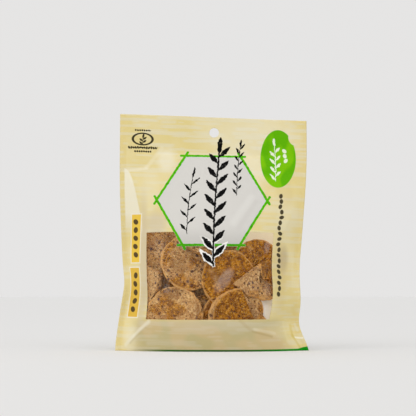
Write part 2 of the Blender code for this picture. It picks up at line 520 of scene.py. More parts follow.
def make_gusset(print_finish, inside_finish):
    """The bottom panel: it stands on two lips and arches up inside the pouch towards the corners."""
    bm = bmesh.new()
    bmesh.ops.create_grid(bm, x_segments=COLUMNS, y_segments=24, size=0.5)
    flat = bm.loops.layers.uv.new("flat")
    for face in bm.faces:
        for loop in face.loops:
            loop[flat].uv = (loop.vert.co.x * WIDTH, loop.vert.co.y * 0.06 + GUSSET_PRINT)
    reach = WIDTH / 2 - SEAL_WIDTH
    for vertex in bm.verts:
        across, through = vertex.co.x * 2, vertex.co.y + 0.5
        lip = min(through, 1 - through)
        depth = place_on(BACK_SHEET, across * reach, 0).y - place_on(FRONT_SHEET, across * reach, 0).y
        skirt = GUSSET_SKIRT * math.exp(-(((lip - 0.10) / 0.06) ** 2)) * min(1.0, depth / 0.01)
        rise = 0.0004 + skirt + gusset_arch(across) * math.sin(math.pi * through)
        front = place_on(FRONT_SHEET, across * reach, rise)
        back = place_on(BACK_SHEET, across * reach, rise)
        vertex.co = front.lerp(back, 0.004 + 0.992 * through)
    bmesh.ops.reverse_faces(bm, faces=bm.faces[:])
    gusset = finish_piece(bm, "gusset_film", [print_finish, inside_finish])
    give_thickness(gusset)
    return gusset


# ---------------------------------------------------------------- crackers

def depth_map(sheet):
    """The sheet's y on a raster of one-millimetre cells of (z, x), and the same smoothed, for slopes over a cracker's
    reach.
    """
    fine = finer(sheet, 4 * ROWS, 4 * COLUMNS) / MM
    column = np.round(fine[..., 0] + RASTER_HALF).astype(int)
    row = np.clip(np.round(fine[..., 2]).astype(int), 0, RASTER_TOP)
    total = np.zeros((RASTER_TOP + 1, 2 * RASTER_HALF + 1))
    count = np.zeros_like(total)
    np.add.at(total, (row, column), fine[..., 1])
    np.add.at(count, (row, column), 1)
    places = np.arange(total.shape[1])
    for z in range(total.shape[0]):
        known = count[z] > 0
        if known.any():
            total[z] = np.interp(places, places[known], total[z][known] / count[z][known])
    smooth = total.copy()
    for _ in range(40):
        smooth[1:-1, 1:-1] += 0.24 * (
            smooth[2:, 1:-1] + smooth[:-2, 1:-1] + smooth[1:-1, 2:] + smooth[1:-1, :-2] - 4 * smooth[1:-1, 1:-1]
        )
    return total, smooth


RASTER_HALF = 84
RASTER_TOP = 200
FRONT_DEPTHS, FRONT_SMOOTH = depth_map(FRONT_SHEET)
BACK_DEPTHS, BACK_SMOOTH = depth_map(BACK_SHEET)


def depth_at(depths, x, z):
    """The y of a panel behind or in front of the place (x, z), in metres."""
    column = min(max(x / MM + RASTER_HALF, 0.0), 2 * RASTER_HALF - 0.001)
    row = min(max(z / MM, 0.0), RASTER_TOP - 0.001)
    i, k = int(column), int(row)
    s, t = column - i, row - k
    low = depths[k, i] * (1 - s) + depths[k, i + 1] * s
    high = depths[k + 1, i] * (1 - s) + depths[k + 1, i + 1] * s
    return float(low * (1 - t) + high * t) * MM


def film_frame(x, z):
    """A rotation whose Z axis looks out of the pouch, square to the front film round (x, z)."""
    reach = 0.010
    across = (depth_at(FRONT_SMOOTH, x + reach, z) - depth_at(FRONT_SMOOTH, x - reach, z)) / (2 * reach)
    up = (depth_at(FRONT_SMOOTH, x, z + reach) - depth_at(FRONT_SMOOTH, x, z - reach)) / (2 * reach)
    side = Vector((1, across, 0)).normalized()
    out = side.cross(Vector((0, up, 1))).normalized()
    return Matrix((side, out.cross(side), out)).transposed()


def break_off(bm, radius, place, angle, lean):
    """Breaks a cracker along a line, place radii from its middle, and fills the fresh face with fine cells, so that it
    can be roughened.
    """
    way = Vector((math.cos(angle), math.sin(angle), lean)).normalized()
    parts = bm.verts[:] + bm.edges[:] + bm.faces[:]
    cut = bmesh.ops.bisect_plane(
        bm, geom=parts, dist=1e-7, plane_co=way * place * radius, plane_no=way, clear_outer=True
    )
    rim = [e for e in cut["geom_cut"] if isinstance(e, bmesh.types.BMEdge)]
    cap = bmesh.ops.triangle_fill(bm, edges=rim, use_beauty=True)
    inner = {e for f in cap["geom"] if isinstance(f, bmesh.types.BMFace) for e in f.edges} - set(rim)
    bmesh.ops.subdivide_edges(bm, edges=list(inner), cuts=3, use_grid_fill=True)


def shape_disc(seed, radius, thickness, level, breaks):
    """One cracker lying flat round the origin: a thin, uneven, blistered disc, whole or broken."""
    rng = random.Random(seed)
    bm = bmesh.new()
    bmesh.ops.create_icosphere(bm, subdivisions=level, radius=1.0)
    offset = Vector((rng.uniform(0, 90), rng.uniform(0, 90), rng.uniform(0, 90)))
    dish = [rng.uniform(-1, 1) for _ in range(3)]
    for vertex in bm.verts:
        p = vertex.co
        way = Vector((p.x, p.y, 0))
        way = way.normalized() if way.length > 1e-6 else Vector((1, 0, 0))
        wide = radius * (1 + 0.040 * noise.noise(way * 1.3 + offset) + 0.022 * noise.noise(way * 4.5 + offset))
        flat = math.copysign(abs(p.z) ** 0.40, p.z)
        vertex.co = Vector((p.x * wide, p.y * wide, flat * thickness / 2))
    for place, angle in breaks:
        break_off(bm, radius, place, math.radians(angle), rng.uniform(-0.15, 0.15))
    bmesh.ops.recalc_face_normals(bm, faces=bm.faces)
    bm.normal_update()
    moves = []
    for vertex in bm.verts:
        p = vertex.co / MM
        near, next_near = noise.voronoi(p / 2.9 + offset)[0][:2]
        blister = 0.22 * (0.5 - near) + 0.20 * min(next_near - near, 0.5)
        lump = 0.34 * noise.noise(p / 5.5 + offset) + 0.46 * noise.noise(p / 14 + offset)
        pit = -0.9 * max(noise.noise(p / 3.6 + offset * 2) - 0.36, 0.0)
        moves.append(vertex.normal * (blister + lump + pit) * MM)
    for vertex, move in zip(bm.verts, moves):
        vertex.co += move
        x, y = vertex.co.x / radius, vertex.co.y / radius
        bend = dish[0] * (x * x - 0.4) + dish[1] * (y * y - 0.4) + dish[2] * x * y
        rim_roll = 0.35 * math.exp(-(((math.hypot(x, y) - 0.86) / 0.10) ** 2))
        vertex.co.z += (1.3 * bend + math.copysign(rim_roll, vertex.co.z)) * MM
    return bm, offset


def stand_behind_film(bm, centre, behind, lean):
    """Turns what lies flat round the origin to face out, and moves it back until it clears the film.

    lean is in degrees: back at the top, back on the right, and turned about its own middle.
    """
    x, z = centre[0] * MM, centre[1] * MM
    nod, turn, spin = (math.radians(angle) for angle in lean)
    turned = Euler((-nod, turn, 0), "YXZ").to_matrix() @ Matrix.Rotation(spin, 3, "Z")
    stand = film_frame(x, z) @ turned
    bmesh.ops.transform(bm, matrix=Matrix.Translation((x, 0, z)) @ stand.to_4x4(), verts=bm.verts)
    clear = max(depth_at(FRONT_DEPTHS, v.co.x, v.co.z) - v.co.y for v in bm.verts)
    bmesh.ops.translate(bm, verts=bm.verts, vec=(0, clear + FILM_CLEARANCE + behind * MM, 0))
    for vertex in bm.verts:
        keep_in_pouch(vertex)


def keep_in_pouch(vertex):
    """Moves a point that would pass through the film to the inside of it."""
    for _ in range(60):
        front = depth_at(FRONT_DEPTHS, vertex.co.x, vertex.co.z) + FILM_CLEARANCE
        back = depth_at(BACK_DEPTHS, vertex.co.x, vertex.co.z) - FILM_CLEARANCE
        if back - front > LEAST_ROOM:
            break
        vertex.co.x *= 0.99
    vertex.co.y = min(max(vertex.co.y, front), back)


def add_cracker(whole, seed, level, centre, behind, lean, radius, thickness, breaks, glaze, tone):
    """Adds one cracker against the front film."""
    bm, offset = shape_disc(seed, radius, thickness, level, breaks)
    layers = {name: bm.verts.layers.float.new(name) for name in ("glaze", "tone", "rim")}
    for vertex in bm.verts:
        p = vertex.co / MM
        reach = math.hypot(p.x, p.y) * MM / radius
        patch = noise.noise(p / 13 + offset) + 0.45 * noise.noise(p / 5.0 + offset * 1.7)
        vertex[layers["glaze"]] = min(max(0.5 + 1.6 * (patch + glaze), 0.0), 1.0)
        vertex[layers["tone"]] = tone
        # How near the edge: where the painted highlight along the rim goes
        vertex[layers["rim"]] = min(max((reach - 0.935) / 0.05, 0.0), 1.0)
    stand_behind_film(bm, centre, behind, lean)
    mesh = bpy.data.meshes.new("cracker")
    bm.to_mesh(mesh)
    bm.free()
    whole.from_mesh(mesh)
    bpy.data.meshes.remove(mesh)


FILM_CLEARANCE = 0.0006
LEAST_ROOM = 0.0012

# Each cracker: (x, z) of its middle, how far it lies behind the film, its lean in degrees, radius and
# thickness, the lines it is broken along as (radii from the middle, degrees), and how glazed and how
# dark it is. Lengths are in millimetres.
TOASTED = (
    ((-18.0, 72.7), 1.0, (4, 12, 10), 23.7, 6.0, (), -0.10, -0.15),
    ((-30.0, 29.6), 0.0, (2, 2, 60), 23.3, 6.2, (), -0.15, -0.20),
    ((-45.0, 85.5), 6.5, (2, 2, 20), 22.6, 5.8, (), -0.60, 0.20),
    ((-49.5, 54.0), 0.2, (0, -4, 0), 17.0, 5.0, ((0.45, -8.6), (0.73, 65.6), (0.45, -38.7), (0.64, 180)), -0.5, -0.60),
    ((29.7, 55.3), 0.3, (-6, 0, 0), 16.0, 5.0, ((0.453, 127), (0.55, -4), (0.64, -104), (0.534, -128)), 0.0, -0.38),
    ((42.7, 57.8), 5.0, (12, 4, 40), 17.4, 5.0, (), -0.42, -0.05),
    ((21.5, 25.9), 1.0, (0, 2, 0), 25.0, 5.0, ((0.675, 43.0),), -0.40, -0.35),
    ((26.4, 32.3), 4.2, (0, 4, 20), 16.2, 5.0, (), -0.40, 0.1),
    ((-5.0, 34.0), 12.0, (0, 0, 0), 12.5, 5.4, (), -0.1, 0.4),
    ((-9.4, 91.1), 0.4, (2, 0, 0), 16.0, 5.0, ((0.70, -118.7),), -0.5, -0.1),
)
GLAZED = (
    ((13.4, 59.2), 0.8, (-6, 6, 120), 22.9, 6.0, (), 0.70, 0.0),
    ((22.4, 29.0), 0.0, (-3, -2, 0), 22.6, 6.0, ((0.40, 24.0),), 0.95, 0.05),
    ((14.2, 27.4), 4.0, (2, -4, 75), 22.4, 5.6, (), 0.30, 0.0),
    ((37.0, 69.1), 4.5, (-2, 4, 200), 22.9, 5.8, (), 0.70, 0.05),
    ((49.5, 69.5), 0.2, (-2, 12, 0), 17.0, 4.2, ((0.66, -90), (0.28, 0), (0.42, 112)), 1.4, -0.05),
)
HIDDEN = (
    ((-42, 42), 20.0, (6, 4, 0), 19.0, 6.0, (), -0.8, -1.4),
    ((-14, 50), 15.0, (-4, 0, 0), 22.5, 6.0, (), -0.1, 0.2),
    ((30, 44), 15.0, (4, 0, 0), 20.0, 6.0, (), 0.0, 0.2),
    ((-36, 64), 16.0, (-4, 0, 0), 22.0, 6.0, (), -0.8, -1.4),
    ((4, 80), 8.0, (-4, 0, 0), 18.0, 6.0, (), -0.2, 0.05),
    ((-8, 22), 13.0, (4, 0, 0), 20.0, 6.0, (), 0.0, 0.1),
    ((-44, 20), 9.0, (4, 0, 0), 15.0, 6.0, (), -0.2, 0.05),
    ((12, 40), 22.0, (0, 0, 0), 22.0, 6.0, (), -0.2, 0.05),
    ((-26, 44), 22.0, (0, 0, 0), 22.0, 6.0, (), -0.2, 0.05),
    ((36, 68), 14.0, (0, 0, 0), 18.0, 6.0, (), -0.2, 0.05),
)


# The drying sachet: half its sides, half its thickness at the seals and what it swells by, and its place
SACHET_HALF = (0.0150, 0.0205)
SACHET_EDGE = 0.0002
SACHET_SWELL = 0.0022
SACHET_PLACE = (47.0, 22.0)
SACHET_BEHIND = 5.0
SACHET_LEAN = (0, 6, -7)


def make_crackers(name, crackers, level, first_seed, finish):
    whole = bmesh.new()
    for number, (centre, behind, lean, radius, thickness, breaks, glaze, tone) in enumerate(crackers):
        add_cracker(
            whole, first_seed + number, level, centre, behind, lean,
            radius * MM, thickness * MM, breaks, glaze, tone,
        )
    return finish_piece(whole, name, [finish], sharp=75)


def make_sachet(finish):
    """The small bare packet that keeps the crackers dry: a thin pillow with two flat sealed ends."""
    bm = bmesh.new()
    bmesh.ops.create_cube(bm, size=2.0)
    level_edges = [e for e in bm.edges if abs(e.verts[0].co.z - e.verts[1].co.z) < 0.1]
    bmesh.ops.subdivide_edges(bm, edges=level_edges, cuts=35, use_grid_fill=True)
    for vertex in bm.verts:
        x, y, side = vertex.co
        end = min(max((0.86 - abs(y)) / 0.5, 0.0), 1.0)
        swell = math.sin(end * math.pi / 2) ** 0.8 * (1 - abs(x) ** 2.4)
        bead = noise.noise((x * 9, y * 11, side * 3)) * swell + 0.5 * noise.noise((x * 4, y * 3, 7.0))
        height = SACHET_EDGE + SACHET_SWELL * swell
        vertex.co = Vector((x * SACHET_HALF[0], y * SACHET_HALF[1], side * height + 0.0005 * bead))
    bmesh.ops.recalc_face_normals(bm, faces=bm.faces)
    stand_behind_film(bm, SACHET_PLACE, SACHET_BEHIND, SACHET_LEAN)
    return finish_piece(bm, "drying_sachet", [finish], sharp=60)


# ---------------------------------------------------------------- node helpers

def shade(red, green, blue):
    """A colour given as it looks, 0 to 255, as the linear values that a shader takes."""
    linear = [
        c / 12.92 if c <= 0.04045 else ((c + 0.055) / 1.055) ** 2.4 for c in (red / 255, green / 255, blue / 255)
    ]
    return (*(PAINT_GAIN * c for c in linear), 1.0)


# How much lighter a surface is than it looks in this scene's light
PAINT_GAIN = 1.0


def add_node(tree, kind, *values, output=0, **settings):
    """Adds a node and links or sets its inputs in order; None leaves one alone. Returns an output."""
    node = tree.nodes.new("ShaderNode" + kind)
    for name, value in settings.items():
        setattr(node, name, value)
    for socket, value in zip(node.inputs, values):
        if isinstance(value, bpy.types.NodeSocket):
            tree.links.new(value, socket)
        elif value is not None:
            socket.default_value = value
    return node.outputs[output]


def calc(tree, operation, *values, clamp=False):
    return add_node(tree, "Math", *values, operation=operation, use_clamp=clamp)


def vector_calc(tree, operation, *values, output=0):
    return add_node(tree, "VectorMath", *values, operation=operation, output=output)


def rise(tree, value, start, end, low=0.0, high=1.0):
    """low up to start, high from end, smooth between them."""
    return add_node(tree, "MapRange", value, start, end, low, high, interpolation_type="SMOOTHSTEP")


def most(tree, *values):
    result = values[0]
    for value in values[1:]:
        result = calc(tree, "MAXIMUM", result, value)
    return result


def least(tree, *values):
    result = values[0]
    for value in values[1:]:
        result = calc(tree, "MINIMUM", result, value)
    return result


def blend(tree, share, first, second, way="MIX"):
    """Mixes two colours."""
    node = tree.nodes.new("ShaderNodeMix")
    node.data_type = "RGBA"
    node.blend_type = way
    for socket, value in ((node.inputs[0], share), (node.inputs[6], first), (node.inputs[7], second)):
        if isinstance(value, bpy.types.NodeSocket):
            tree.links.new(value, socket)
        else:
            socket.default_value = value
    return node.outputs[2]


def parts_of(tree, place):
    """The x and y of a vector."""
    node = tree.nodes.new("ShaderNodeSeparateXYZ")
    tree.links.new(place, node.inputs[0])
    return node.outputs[0], node.outputs[1]


def joined(tree, x, y, z=0.0):
    return add_node(tree, "CombineXYZ", x, y, z)


def new_group(name, inputs, outputs):
    """A shader node group with named sockets: its tree, its inputs by name and its output node."""
    tree = bpy.data.node_groups.new(name, "ShaderNodeTree")
    for label, kind, value in inputs:
        socket = tree.interface.new_socket(label, in_out="INPUT", socket_type="NodeSocket" + kind)
        if value is not None:
            socket.default_value = value
    for label, kind in outputs:
        tree.interface.new_socket(label, in_out="OUTPUT", socket_type="NodeSocket" + kind)
    source = tree.nodes.new("NodeGroupInput")
    return tree, {socket.name: socket for socket in source.outputs if socket.name}, tree.nodes.new("NodeGroupOutput")


def close_group(tree, sink, **results):
    for label, value in results.items():
        tree.links.new(value, sink.inputs[label])
    return tree


def use(tree, group, **values):
    """Places a group in a tree, its inputs given by name, and returns the node."""
    node = tree.nodes.new("ShaderNodeGroup")
    node.node_tree = group
    for label, value in values.items():
        socket = node.inputs[label]
        if isinstance(value, bpy.types.NodeSocket):
            tree.links.new(value, socket)
        else:
            socket.default_value = value
    return node


def new_material(name):
    """A material, its tree and its Principled BSDF."""
    material = bpy.data.materials.new(name)
    material.use_nodes = True
    tree = material.node_tree
    return material, tree, tree.nodes["Principled BSDF"]


def plain(name, colour, roughness):
    material, _, shader = new_material(name)
    shader.inputs["Base Color"].default_value = colour
    shader.inputs["Roughness"].default_value = roughness
    return material


# ---------------------------------------------------------------- shapes of the print, all in millimetres

def brush_bands_group():
    """Dry brush strokes side by side: level bands with crisp long edges and soft ends."""
    tree, given, sink = new_group(
        "brush bands",
        (("Place", "Vector", None), ("Band", "Float", 4.0), ("Reach", "Float", 30.0),
         ("Cover", "Float", 0.5), ("Seed", "Float", 0.0)),
        (("Mask", "Float"),),
    )
    u, v = parts_of(tree, given["Place"])
    waver = add_node(tree, "TexNoise", given["Place"], None, 0.05, 1.0, noise_dimensions="2D")
    v = calc(tree, "MULTIPLY_ADD", waver, 1.4, v)
    line = calc(tree, "DIVIDE", v, given["Band"])
    row = calc(tree, "FLOOR", line)
    within = calc(tree, "FRACT", line)
    chance = add_node(tree, "TexWhiteNoise", joined(tree, row, given["Seed"]), output=1, noise_dimensions="2D")
    first, second = parts_of(tree, chance)
    along = calc(tree, "DIVIDE", calc(tree, "MULTIPLY_ADD", first, 400.0, u), given["Reach"])
    stretch = add_node(
        tree, "TexNoise", joined(tree, along, calc(tree, "MULTIPLY_ADD", row, 5.37, given["Seed"])),
        None, 1.0, 1.0, noise_dimensions="2D",
    )
    start = calc(tree, "SUBTRACT", 1.0, given["Cover"])
    long = rise(tree, calc(tree, "SUBTRACT", stretch, start), -0.035, 0.05)
    bottom = calc(tree, "MULTIPLY_ADD", second, 0.30, 0.08)
    top = calc(tree, "MULTIPLY_ADD", first, -0.30, 0.96)
    above = rise(tree, calc(tree, "SUBTRACT", within, bottom), -0.10, 0.10)
    below = rise(tree, calc(tree, "SUBTRACT", top, within), -0.10, 0.10)
    bristles = add_node(
        tree, "TexNoise", joined(tree, calc(tree, "DIVIDE", u, 22.0), calc(tree, "DIVIDE", v, 0.7)),
        None, 1.0, 1.0, noise_dimensions="2D",
    )
    dry = rise(tree, bristles, 0.30, 0.60, 0.62, 1.0)
    mask = calc(tree, "MULTIPLY", calc(tree, "MULTIPLY", long, dry), calc(tree, "MULTIPLY", above, below))
    return close_group(tree, sink, Mask=mask)


def stick_group():
    """How far a place is from a straight stick between two points."""
    tree, given, sink = new_group(
        "stick", (("Place", "Vector", None), ("Start", "Vector", None), ("End", "Vector", None)),
        (("Distance", "Float"),),
    )
    way = vector_calc(tree, "SUBTRACT", given["End"], given["Start"])
    off = vector_calc(tree, "SUBTRACT", given["Place"], given["Start"])
    along = calc(
        tree, "DIVIDE", vector_calc(tree, "DOT_PRODUCT", off, way, output=1),
        vector_calc(tree, "DOT_PRODUCT", way, way, output=1), clamp=True,
    )
    near = add_node(tree, "VectorMath", way, None, None, along, operation="SCALE")
    distance = vector_calc(tree, "LENGTH", vector_calc(tree, "SUBTRACT", off, near), output=1)
    return close_group(tree, sink, Distance=distance)


def oval_group():
    """How far a place is from an oval's middle, in its radii: 1 on its edge."""
    tree, given, sink = new_group(
        "oval", (("Place", "Vector", None), ("Middle", "Vector", None), ("Radii", "Vector", (1, 1, 1))),
        (("Reach", "Float"),),
    )
    off = vector_calc(tree, "DIVIDE", vector_calc(tree, "SUBTRACT", given["Place"], given["Middle"]), given["Radii"])
    return close_group(tree, sink, Reach=vector_calc(tree, "LENGTH", off, output=1))


def box_group():
    """A filled upright rectangle with soft edges, from its middle and half sizes."""
    tree, given, sink = new_group(
        "box", (("Place", "Vector", None), ("Middle", "Vector", None), ("Half", "Vector", (1, 1, 1))),
        (("Mask", "Float"),),
    )
    off = vector_calc(tree, "ABSOLUTE", vector_calc(tree, "SUBTRACT", given["Place"], given["Middle"]))
    inside_x, inside_y = parts_of(tree, vector_calc(tree, "SUBTRACT", given["Half"], off))
    return close_group(tree, sink, Mask=rise(tree, least(tree, inside_x, inside_y), -0.2, 0.2))


def grain_ear_group():
    """A stalk of grains, up along Y from the place (0, 0), leaning out to both sides by turns."""
    tree, given, sink = new_group(
        "grain ear",
        (("Place", "Vector", None), ("Pitch", "Float", 12.0), ("Length", "Float", 6.0), ("Width", "Float", 2.2),
         ("Spread", "Float", 4.5), ("Lean", "Float", 0.7), ("Top", "Float", 100.0), ("Seed", "Float", 0.0)),
        (("Reach", "Float"),),
    )
    x, y = parts_of(tree, given["Place"])
    other_side = calc(tree, "LESS_THAN", x, 0.0)
    y = calc(tree, "MULTIPLY_ADD", calc(tree, "MULTIPLY", other_side, given["Pitch"]), 0.5, y)
    out = calc(tree, "SUBTRACT", calc(tree, "ABSOLUTE", x), given["Spread"])
    row = calc(tree, "FLOOR", calc(tree, "DIVIDE", y, given["Pitch"]))
    cosine, sine = calc(tree, "COSINE", given["Lean"]), calc(tree, "SINE", given["Lean"])
    reaches = []
    for back in (0.0, 1.0):
        own_row = calc(tree, "SUBTRACT", row, back)
        middle = calc(tree, "MULTIPLY", calc(tree, "ADD", own_row, 0.5), given["Pitch"])
        up = calc(tree, "SUBTRACT", y, middle)
        chance = add_node(
            tree, "TexWhiteNoise", joined(tree, calc(tree, "MULTIPLY_ADD", other_side, 0.5, own_row), given["Seed"]),
            noise_dimensions="2D",
        )
        size = rise(tree, chance, 0.0, 1.0, 0.86, 1.10)
        along = calc(tree, "ADD", calc(tree, "MULTIPLY", up, cosine), calc(tree, "MULTIPLY", out, sine))
        beside = calc(tree, "SUBTRACT", calc(tree, "MULTIPLY", out, cosine), calc(tree, "MULTIPLY", up, sine))
        along = calc(tree, "DIVIDE", along, calc(tree, "MULTIPLY", given["Length"], size))
        beside = calc(tree, "DIVIDE", beside, given["Width"])
        beside = calc(tree, "MULTIPLY", beside, calc(tree, "MULTIPLY_ADD", calc(tree, "ABSOLUTE", along), 0.7, 1.0))
        reach = vector_calc(tree, "LENGTH", joined(tree, along, beside), output=1)
        over = calc(tree, "GREATER_THAN", calc(tree, "ABSOLUTE", calc(tree, "SUBTRACT", calc(
            tree, "MULTIPLY", calc(tree, "DIVIDE", middle, given["Top"]), 2.0), 1.0)), 1.0)
        reaches.append(calc(tree, "MULTIPLY_ADD", over, 20.0, reach))
    return close_group(tree, sink, Reach=least(tree, *reaches))


def seed_line_group():
    """A column of small seeds up along Y, each turned and placed a little differently: 1 inside a seed."""
    tree, given, sink = new_group(
        "seed line",
        (("Place", "Vector", None), ("Pitch", "Float", 4.5), ("Length", "Float", 1.5), ("Width", "Float", 0.8),
         ("Top", "Float", 40.0), ("Seed", "Float", 0.0), ("Stray", "Float", 1.4)),
        (("Mask", "Float"),),
    )
    x, y = parts_of(tree, given["Place"])
    line = calc(tree, "DIVIDE", y, given["Pitch"])
    row = calc(tree, "FLOOR", line)
    chance = add_node(tree, "TexWhiteNoise", joined(tree, row, given["Seed"]), output=1, noise_dimensions="2D")
    first, second = parts_of(tree, chance)
    up = calc(tree, "MULTIPLY", calc(tree, "SUBTRACT", calc(tree, "FRACT", line), 0.5), given["Pitch"])
    side = calc(tree, "MULTIPLY_ADD", calc(tree, "SUBTRACT", first, 0.5), given["Stray"], x)
    angle = calc(tree, "MULTIPLY", calc(tree, "SUBTRACT", second, 0.5), 2.4)
    turned = add_node(tree, "VectorRotate", joined(tree, side, up), None, None, angle, rotation_type="Z_AXIS")
    reach = vector_calc(tree, "LENGTH", vector_calc(
        tree, "DIVIDE", turned, joined(tree, given["Width"], given["Length"], 1.0)), output=1)
    inside = calc(tree, "MULTIPLY", calc(tree, "GREATER_THAN", y, 0.0), calc(tree, "LESS_THAN", y, given["Top"]))
    return close_group(tree, sink, Mask=calc(tree, "MULTIPLY", rise(tree, reach, 1.15, 0.85), inside))


BRUSH_BANDS = brush_bands_group()
STICK = stick_group()
OVAL = oval_group()
BOX = box_group()
GRAIN_EAR = grain_ear_group()
SEED_LINE = seed_line_group()

# Colours of the print, with painted shade and a painted sheen among them
BUTTER = (227, 211, 156)
CREAM = (224, 219, 198)
SEAL_YELLOW = (225, 206, 142)
LOW_SHADE_STRAW = (196, 174, 132)
LOW_SHADE_OLIVE = (182, 170, 128)
LOW_SHADE_PALE = (216, 206, 184)
PAPER_GREY = (211, 208, 202)
PAPER_PAINTED_SHADE = (197, 194, 188)
STICK_GREEN = (82, 180, 0)
STICK_DEEP = (62, 152, 4)
BADGE_GREEN = (94, 176, 0)
BADGE_SHEEN_GREEN = (122, 192, 4)
INK = (2, 2, 2)
LABEL_ORANGE = (232, 194, 76)
LABEL_SHADED_ORANGE = (222, 181, 72)
LABEL_BORDER = (238, 234, 220)
GUSSET_GREEN = (16, 140, 20)
GUSSET_SHADED_GREEN = (38, 92, 34)
INSIDE_WHITE = (230, 223, 200)

# Painted highlights and painted shade on the ground: middle, radii, how much and the colour there
PAINTED_HIGHLIGHT_CREAM = (236, 230, 208)
PAINTED_SHADE_TAN = (200, 176, 124)
PAINTED_LIGHT_AND_SHADE = (
    ((32.0, 184.0), (46.0, 24.0), 0.45, PAINTED_HIGHLIGHT_CREAM),
    ((34.0, 154.0), (18.0, 16.0), 0.45, PAINTED_HIGHLIGHT_CREAM),
    ((-53.0, 134.0), (9.0, 20.0), 0.20, PAINTED_HIGHLIGHT_CREAM),
    ((66.0, 114.0), (12.0, 20.0), 0.24, PAINTED_HIGHLIGHT_CREAM),
    ((-66.0, 11.0), (7.0, 11.0), 0.35, PAINTED_HIGHLIGHT_CREAM),
    ((-40.0, 163.0), (9.0, 12.0), 0.60, PAINTED_HIGHLIGHT_CREAM),
    ((-58.5, 72.0), (5.5, 62.0), 0.75, (204, 188, 158)),
    ((-47.0, 106.0), (11.0, 13.0), 0.70, (206, 192, 166)),
    ((63.5, 78.0), (5.5, 13.0), 0.50, (170, 152, 124)),
    ((56.0, 18.0), (10.0, 7.0), 0.35, (226, 210, 164)),
    ((5.0, 22.0), (46.0, 6.0), 0.40, (216, 204, 178)),
    ((58.0, 66.0), (8.0, 34.0), 0.38, PAINTED_SHADE_TAN),
    ((62.0, 134.0), (8.0, 14.0), 0.20, PAINTED_SHADE_TAN),
    ((66.0, 66.0), (7.0, 20.0), 0.24, PAINTED_SHADE_TAN),
)
# Painted highlights and painted shade where the film is folded: two ends, reach, how much, colour
PAINTED_FOLD_LIGHT = (
    ((-50.0, 24.5), (-70.5, 5.0), 2.8, 0.52, (232, 227, 208)),
    ((-52.0, 20.0), (-66.0, 6.5), 1.3, 0.25, (176, 158, 108)),
    ((-75.8, 152.0), (-57.0, 154.6), 2.2, 0.40, (238, 231, 208)),
    ((-57.0, 155.2), (-44.0, 173.0), 2.8, 0.32, (236, 229, 206)),
    ((34.7, 17.3), (50.2, 12.5), 1.6, 0.34, (168, 144, 88)),
    ((36.7, 19.0), (53.6, 15.2), 2.2, 0.42, (224, 213, 182)),
    ((25.0, 26.0), (33.0, 18.5), 2.4, 0.22, (178, 148, 92)),
    ((71.7, 21.4), (69.8, 12.6), 2.4, 0.50, (214, 190, 100)),
    ((69.8, 12.6), (73.4, 3.0), 2.0, 0.45, (206, 184, 84)),
    ((72.6, 11.3), (79.0, 9.9), 1.3, 0.85, (242, 238, 218)),
    ((76.3, 22.5), (77.4, 17.0), 2.0, 0.45, (234, 229, 206)),
    ((65.0, 24.0), (64.0, 8.0), 2.2, 0.25, (228, 216, 168)),
    ((37.0, 127.0), (22.0, 103.0), 3.4, 0.26, (196, 192, 186)),
    ((33.0, 131.0), (18.0, 108.0), 5.0, 0.30, (228, 226, 220)),
)

# The labels: middle, half sides, lean to the left, the seeds' order and the colour; the lower label's deeper orange is
# painted shade
LABELS = (
    ((-66.1, 93.8), (4.3, 20.4), -0.05, 1.0, LABEL_ORANGE),
    ((-68.0, 48.6), (4.9, 20.3), 0.030, 4.0, LABEL_SHADED_ORANGE),
)

# The hexagon's sticks: half their width, and how far they cross at the corners
STICK_HALF = 1.08
STICK_CROSSING = 3.8


def place_of_clouds(tree, place):
    return vector_calc(tree, "ADD", place, (31.0, 9.0, 0.0))


def ground_and_shade_group():
    """The yellow ground of all the printed film: two sizes of pale brush bands over a butter yellow, with painted shade
    across its lower part.
    """
    tree, given, sink = new_group("yellow ground", (("Place", "Vector", None), ("Seed", "Float", 0.0)), (("Colour", "Color"),))
    u, v = parts_of(tree, given["Place"])
    bands = []
    for band, reach, cover, seed in ((5.4, 44.0, 0.47, 0.0), (3.8, 30.0, 0.44, 31.0), (2.4, 16.0, 0.36, 57.0)):
        seeded = calc(tree, "ADD", given["Seed"], seed)
        strokes = use(tree, BRUSH_BANDS, Place=given["Place"], Band=band, Reach=reach, Cover=cover, Seed=seeded)
        bands.append(strokes.outputs["Mask"])
    large, middle, small = bands
    strokes = most(tree, calc(tree, "MULTIPLY", large, 0.56), calc(tree, "MULTIPLY", middle, 0.46), calc(tree, "MULTIPLY", small, 0.36))
    strokes = calc(tree, "MULTIPLY", strokes, rise(tree, v, 152.0, 170.0, 0.74, 1.0))
    mottle = add_node(tree, "TexNoise", given["Place"], None, 0.03, 2.0, noise_dimensions="2D")
    ground = blend(tree, rise(tree, mottle, 0.35, 0.65), shade(*BUTTER), shade(224, 206, 142))
    off_middle = calc(tree, "ABSOLUTE", u)
    ground = blend(tree, rise(tree, off_middle, 73.6, 75.4), ground, shade(*SEAL_YELLOW))
    colour = blend(tree, strokes, ground, shade(*CREAM))
    # Painted shade of the lower film, which turns downward and has crackers behind it: straw and olive with paler
    # strokes
    low = calc(tree, "MULTIPLY", rise(tree, v, 31.0, 22.0, 0.0, 0.80), rise(tree, off_middle, 72.0, 52.0))
    cloud = add_node(tree, "TexNoise", place_of_clouds(tree, given["Place"]), None, 0.045, 1.0, noise_dimensions="2D")
    shaded_straw = blend(tree, rise(tree, cloud, 0.40, 0.60), shade(*LOW_SHADE_STRAW), shade(*LOW_SHADE_OLIVE))
    shaded_straw = blend(tree, calc(tree, "MULTIPLY", strokes, 0.55), shaded_straw, shade(*LOW_SHADE_PALE))
    colour = blend(tree, low, colour, shaded_straw)
    return close_group(tree, sink, Colour=colour)


GROUND_AND_LOW_SHADE = ground_and_shade_group()


